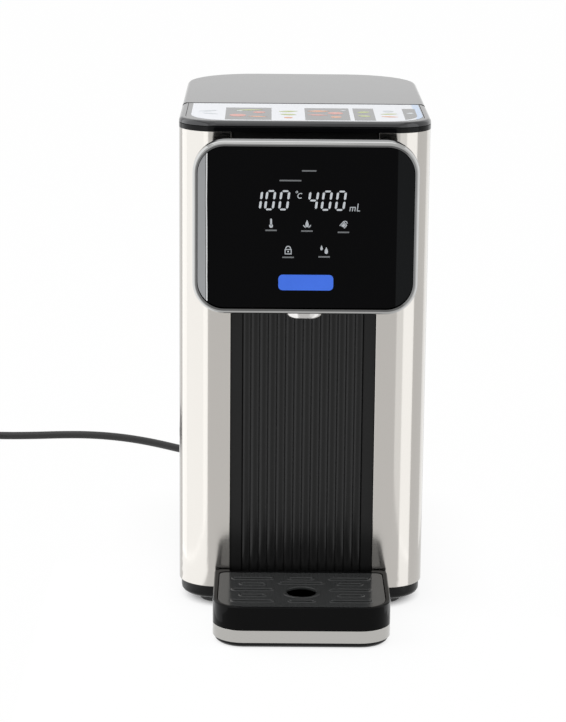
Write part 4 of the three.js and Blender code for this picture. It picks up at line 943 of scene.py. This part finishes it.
# Touch keys: middle of each, how far its mark is turned, and the mark's shapes about that middle
keys = {
    "heat": ((-23.8, 299.6), 0, [
        blockLoop(-0.65, 0.65, -1.1, 3.1, 0.6, 5), arcBand(0, -2.0, 1.35, 0.0, 62, -242),
    ]),
    "milk": ((0.9, 299.3), 0, [
        dropLoop(0, 0.2, 3.2, 5.2), arcBand(0, 0, 3.0, 2.3, 200, 250), arcBand(0, 0, 3.0, 2.3, 290, 340),
    ]),
    "cup": ((26.0, 298.6), 48, [
        [
            (-2.2, 1.9), (2.2, 1.9), (1.5, -2.1), (-1.5, -2.1),
            (-1.3, -1.5), (1.0, -1.5), (1.5, 1.3), (-2.1, 1.3),
        ],
        arcBand(1.9, 0.1, 1.5, 0.9, -75, 75), [(-1.7, 0.9), (1.2, 0.9), (0.8, -1.2), (-1.2, -1.2)],
    ]),
    "lock": ((-11.9, 280.8), 0, [
        blockLoop(-2.4, 2.4, -3.0, -2.4), blockLoop(-2.4, 2.4, 0.1, 0.7),
        blockLoop(-2.4, -1.8, -2.4, 0.1), blockLoop(1.8, 2.4, -2.4, 0.1),
        arcBand(0, 0.9, 2.0, 1.35, 0, 180), arcBand(0, -1.1, 0.6, 0.0, 0, 359, 12),
    ]),
    "pour": ((12.9, 281.3), 0, [dropLoop(-1.8, 1.3, 2.4, 3.6), dropLoop(1.5, -0.6, 3.2, 4.8)]),
}
keyBar = {"width": 8, "height": 1.0, "drop": 5.6, "corner": 0.3}
alertBars = [(2.0, 335.5, 10), (-10.8, 328.7, 15)]  # x, z, width
blueBar = {"x": 0.5, "z": 258.0, "width": 38, "height": 11, "corner": 3}


def onGlass(x, z, out):
    return Vector((x * mm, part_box("touch_glass")[0].y - out * mm, z * mm))


def printOnGlass(name, loops, look):
    built = bmesh.new()
    for loop in loops:
        plateInto(built, lambda back: loop, [], 0, readings["film"], at=onGlass)
    finishMesh(name, built, look, "touch_glass", printed=True)


def levelBar(x, z, width):
    return blockLoop(x - width / 2, x + width / 2, z, z + keyBar["height"], keyBar["corner"])


digits = readings["temperature"] + readings["volume"]
strokes = [stroke for centre, lit in digits for stroke in strokesOf(centre, lit)]
printOnGlass("readings", leaning(strokes, readings["base"]), "litPrint")
printOnGlass("unitMarks", leaning(unitShapes, readings["unitBase"]), "keyPrint")
keyMarks = [turned(shape, x, z, angle) for (x, z), angle, shapes in keys.values() for shape in shapes]
printOnGlass("keyMarks", keyMarks, "keyPrint")
keyBars = [levelBar(x, z - keyBar["drop"], keyBar["width"]) for (x, z), angle, shapes in keys.values()]
printOnGlass("keyBars", keyBars + [levelBar(*alert) for alert in alertBars], "faintPrint")
x, z, w, h = blueBar["x"], blueBar["z"], blueBar["width"] / 2, blueBar["height"] / 2
printOnGlass("blueBar", [roundedLoop(x - w, x + w, z - h, z + h, blueBar["corner"])], "bluePrint")

# Ring of the outlet
collarRing = {
    "bore": 6.2, "chamfer": 0.4, "radius": 12.8, "lowRadius": 10.4, "roundHeight": 3.2, "height": 5.9,
    "sleeve": 8, "roundSteps": 7, "segments": 64, "drop": 0.5,
}


def makeCollarRing():
    low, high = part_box("spout_collar")
    bore, lowRadius, chamfer = collarRing["bore"], collarRing["lowRadius"], collarRing["chamfer"]
    bottom, top = low.z / mm - collarRing["drop"], high.z / mm
    shoulder = bottom + collarRing["height"]
    profile = [(bore, bottom + chamfer), (bore + chamfer, bottom), (lowRadius, bottom)]
    for i in range(1, collarRing["roundSteps"] + 1):
        angle = math.radians(90 * i / collarRing["roundSteps"])
        out = lowRadius + (collarRing["radius"] - lowRadius) * math.sin(angle)
        profile.append((out, bottom + collarRing["roundHeight"] * (1 - math.cos(angle))))
    sleeve = collarRing["sleeve"]
    profile += [(collarRing["radius"], shoulder), (sleeve, shoulder), (sleeve, top), (bore, top)]
    built = bmesh.new()
    latheInto(built, profile, collarRing["segments"], "spout_collar")
    finishMesh("outletRing", built, "silver", "spout_collar", sharp=40)


makeCollarRing()
print("head dressed")


# Tops

finePiece("top_collar", "topFrame", "glossBlack", edge=0.35, steps=3)
finePiece("top_deck", "frontCover", "coverBlack", edge=0.2)
finePiece("tank_lid", "tankCover", "coverBlack", edge=0.2)

# Printed strip: a white film with light blue at its right end, and tiles of plain shapes
strip = {
    "left": -81.5, "right": 84.4, "front": -91.6, "rear": -3, "corner": 29, "rearCorner": 1,
    "cornerSteps": 10, "baseDrop": 0.25, "topWithin": 0.1, "film": 0.1, "tile": 0.07, "motif": 0.06,
    "sink": 0.02, "tileRear": -26, "tileInset": 4, "discSteps": 28,
    "blueFrom": 6, "blueFull": 4.5, "blue": rgb(180, 206, 240),
    "paper": (rgb(228, 231, 238), rgb(238, 240, 245)), "fadeScale": 30,
    "rough": 0.14, "fadeRough": 0.06, "gloss": 0.4,
}
stripInks = ("printSalmon", "printOrange", "printLeaf", "printPale", "labelBlack")
darkTiles = [(-57, -24), (0, 32), (35, 50), (71, 82)]  # left and right
# kind, place of its ink in stripInks, x, y, length, width, turn
motifs = [
    ("leaf", 3, -70, -44, 14, 5, 20), ("leaf", 3, -68, -58, 12, 4, -25),
    ("disc", 0, -48, -66, 12, 12, 0), ("disc", 0, -33, -50, 9, 9, 0), ("leaf", 2, -40, -38, 20, 5, 8),
    ("disc", 3, -47, -43, 5, 5, 0), ("leaf", 1, -34, -72, 14, 5, -12),
    ("leaf", 2, -12, -44, 14, 6, 12), ("leaf", 2, -12, -60, 12, 6, -14), ("disc", 1, -12, -76, 6, 6, 0),
    ("leaf", 1, 10, -42, 16, 8, 5), ("disc", 0, 22, -52, 11, 11, 0), ("leaf", 0, 9, -62, 15, 6, -10),
    ("disc", 1, 22, -72, 8, 8, 0), ("disc", 3, 28, -38, 4, 4, 0),
    ("leaf", 2, 42.5, -46, 11, 7, 30), ("leaf", 2, 42.5, -66, 11, 7, -30),
    ("disc", 3, 60.5, -40, 8, 8, 0), ("leaf", 2, 60.5, -54, 12, 4, 10), ("leaf", 1, 60.5, -68, 12, 4, -10),
    ("leaf", 3, 76, -50, 8, 5, 80),
]


def makeStripLook():
    made = newLook("inlay")
    x = made.axes()[0] / mm
    end = x.rising(strip["right"] - strip["blueFrom"], strip["right"] - strip["blueFull"])
    fade = made.noise(made.place(), scale=strip["fadeScale"])
    made.show(made.principled(
        Specular_IOR_Level=strip["gloss"], Roughness=strip["rough"] + fade * strip["fadeRough"],
        Base_Color=made.blend(end, made.blend(fade, *strip["paper"]), strip["blue"]),
    ))


def clippedTo(points, border):
    # the part of an outline that lies inside a rounded border
    for (ax, ay), (bx, by) in zip(border, border[1:] + border[:1]):
        kept = []
        for p, q in zip(points, points[1:] + points[:1]):
            inP = (bx - ax) * (p[1] - ay) - (by - ay) * (p[0] - ax)
            inQ = (bx - ax) * (q[1] - ay) - (by - ay) * (q[0] - ax)
            if inP >= 0:
                kept.append(p)
            if inP * inQ < 0:
                share = inP / (inP - inQ)
                kept.append((p[0] + (q[0] - p[0]) * share, p[1] + (q[1] - p[1]) * share))
        points = kept
    return points


def leafLoop(x, y, length, width, angle, steps=10):
    upper = [(length * (i / steps - 0.5), width / 2 * math.sin(math.pi * i / steps)) for i in range(steps)]
    lower = [(-px, -py) for px, py in upper]
    return turned(upper + lower, x, y, angle)[::-1]


def makeStrip():
    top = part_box("deck_inlay")[1].z
    ground = copyOf("deck_inlay")
    for vert in ground.verts:
        if vert.co.z > top - strip["topWithin"] * mm:
            vert.co.z -= strip["baseDrop"] * mm
    finishMesh("stripBase", ground, "labelBlack", "deck_inlay")
    front, rear = strip["front"], strip["tileRear"]
    edge = rounded(
        strip["left"], strip["right"], front, strip["rear"], strip["rearCorner"], strip["cornerSteps"],
        strip["corner"],
    )
    base = top / mm - strip["baseDrop"]
    paper = bmesh.new()
    plateInto(paper, edge, [], base - strip["sink"], base + strip["film"])
    finishMesh("stripPaper", paper, "inlay", "deck_inlay", printed=True)
    border = edge(strip["tileInset"])
    base += strip["film"]
    picture = bmesh.new()

    def printShape(shape, height, ink):
        loop = clippedTo(shape, border)
        plateInto(picture, lambda back: loop, [], base - strip["sink"], base + height, index=ink)

    for left, right in darkTiles:
        tile = [(left, front), (right, front), (right, rear), (left, rear)]
        printShape(tile, strip["tile"], stripInks.index("labelBlack"))
    for kind, ink, x, y, length, width, angle in motifs:
        dot = disc(x, y, length / 2, strip["discSteps"])(0)
        shape = leafLoop(x, y, length, width, angle) if kind == "leaf" else dot
        printShape(shape, strip["tile"] + strip["motif"], ink)
    finishMesh("stripPicture", picture, stripInks, "deck_inlay", printed=True)


makeStripLook()
makeStrip()
print("tops dressed")


# Drip tray

finePiece("tray_base", "trayFoot", "skirt", edge=0.2)
finePiece("tray_band", "trayBand", "bandSteel", edge=0.15)
finePiece("tray_body", "trayBasin", "trayBlack", edge=0.3, steps=3)

# Slotted plate: five rows of slots at each side, three slots in the middle and the hole, with beads round all
grille = {
    "sheet": 1.8, "rowsY": -138.75, "rows": 5, "rowPitch": 12.4, "columnX": 35, "long": 27.4, "short": 16,
    "slot": 2.6, "midNear": 24.8, "midFar": 15, "midSlot": 30, "holeY": -143.75, "hole": 10.8,
    "holeSteps": 64, "edge": 0.3, "frontRadius": 18.2, "rearRadius": 5, "cornerSteps": 8,
    "lipInset": 3, "lipWall": 1.6, "lipEdge": 0.2, "lipLap": 0.2,
}
bead = {"from": 0.4, "width": 1.7, "height": 0.4, "steps": 6, "sink": 0.3, "holeFrom": 0.5, "holeWidth": 2.6}


def beadInto(built, shape, start, width, base):
    # a rounded bead on the plate, all round an opening
    outs = []
    for i in range(bead["steps"] + 1):
        angle = math.pi * i / bead["steps"]
        outs.append((start + width * (1 - math.cos(angle)) / 2, bead["height"] * math.sin(angle)))
    outs += [(start + width, -bead["sink"]), (start, -bead["sink"])]
    loftInto(built, [[flat(x, y, base + up) for x, y in shape(-out)] for out, up in outs], closed=True)


def makeGrille():
    low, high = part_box("drip_grille")
    top, middle = high.z / mm, grille["rowsY"]
    outline = rounded(
        low.x / mm, high.x / mm, low.y / mm, high.y / mm, grille["rearRadius"], grille["cornerSteps"],
        grille["frontRadius"],
    )
    slots = []
    for row in range(grille["rows"]):
        fromMiddle = row - grille["rows"] // 2
        length = grille["short"] if fromMiddle % 2 else grille["long"]
        for x in (-grille["columnX"], grille["columnX"]):
            slots.append((x, middle + fromMiddle * grille["rowPitch"], length))
    slots += [
        (0, middle - grille["midNear"], grille["short"]), (0, middle + grille["midNear"], grille["short"]),
        (0, middle + grille["midFar"], grille["midSlot"]),
    ]
    openings = [pill(x, y, length, grille["slot"]) for x, y, length in slots]
    hole = disc(0, grille["holeY"], grille["hole"], grille["holeSteps"])
    under = top - grille["sheet"]
    lipOut, lipIn = grille["lipInset"], grille["lipInset"] + grille["lipWall"]
    built = bmesh.new()
    plateInto(built, outline, openings + [hole], under, top, grille["edge"])
    plateInto(
        built, lambda back: outline(back + lipOut), [lambda back: outline(back + lipIn)], low.z / mm,
        under + grille["lipLap"], grille["lipEdge"],
    )
    for opening in openings:
        beadInto(built, opening, bead["from"], bead["width"], top)
    beadInto(built, hole, bead["holeFrom"], bead["holeWidth"], top)
    finishMesh("slottedPlate", built, "grilleGrey", "drip_grille")


makeGrille()
print("tray dressed")


# Outlet and what is inside, in their own finishes

inside = {
    "whitePlastic": (
        "outlet_chamber", "lid_liner", "tank_strainer", "float_guide", "tank_float", "flow_meter",
        "heater_top_cap", "heater_bottom_cap", "board_carrier", "terminal_block",
    ),
    "siliconeHose": ("spout_nozzle", "lid_seal", "tank_hose", "pump_hose", "heater_hose", "steam_hose"),
    "matBlack": (
        "display_module", "display_cable", "pump_bracket", "pump_head", "heater_bracket", "thermal_cutout",
    ),
    "boardGreen": ("display_board", "power_board"), "frosted": ("water_tank",), "motorCan": ("pump_motor",),
    "heaterSteel": ("heater_tube",), "brassRod": ("water_probe",), "bareAluminium": ("heat_sink",),
    "cordSheath": ("inner_mains",),
}
for look, dressed in inside.items():
    for node in dressed:
        nodes[node].data.materials.clear()
        nodes[node].data.materials.append(looks[look])
print("inside dressed")
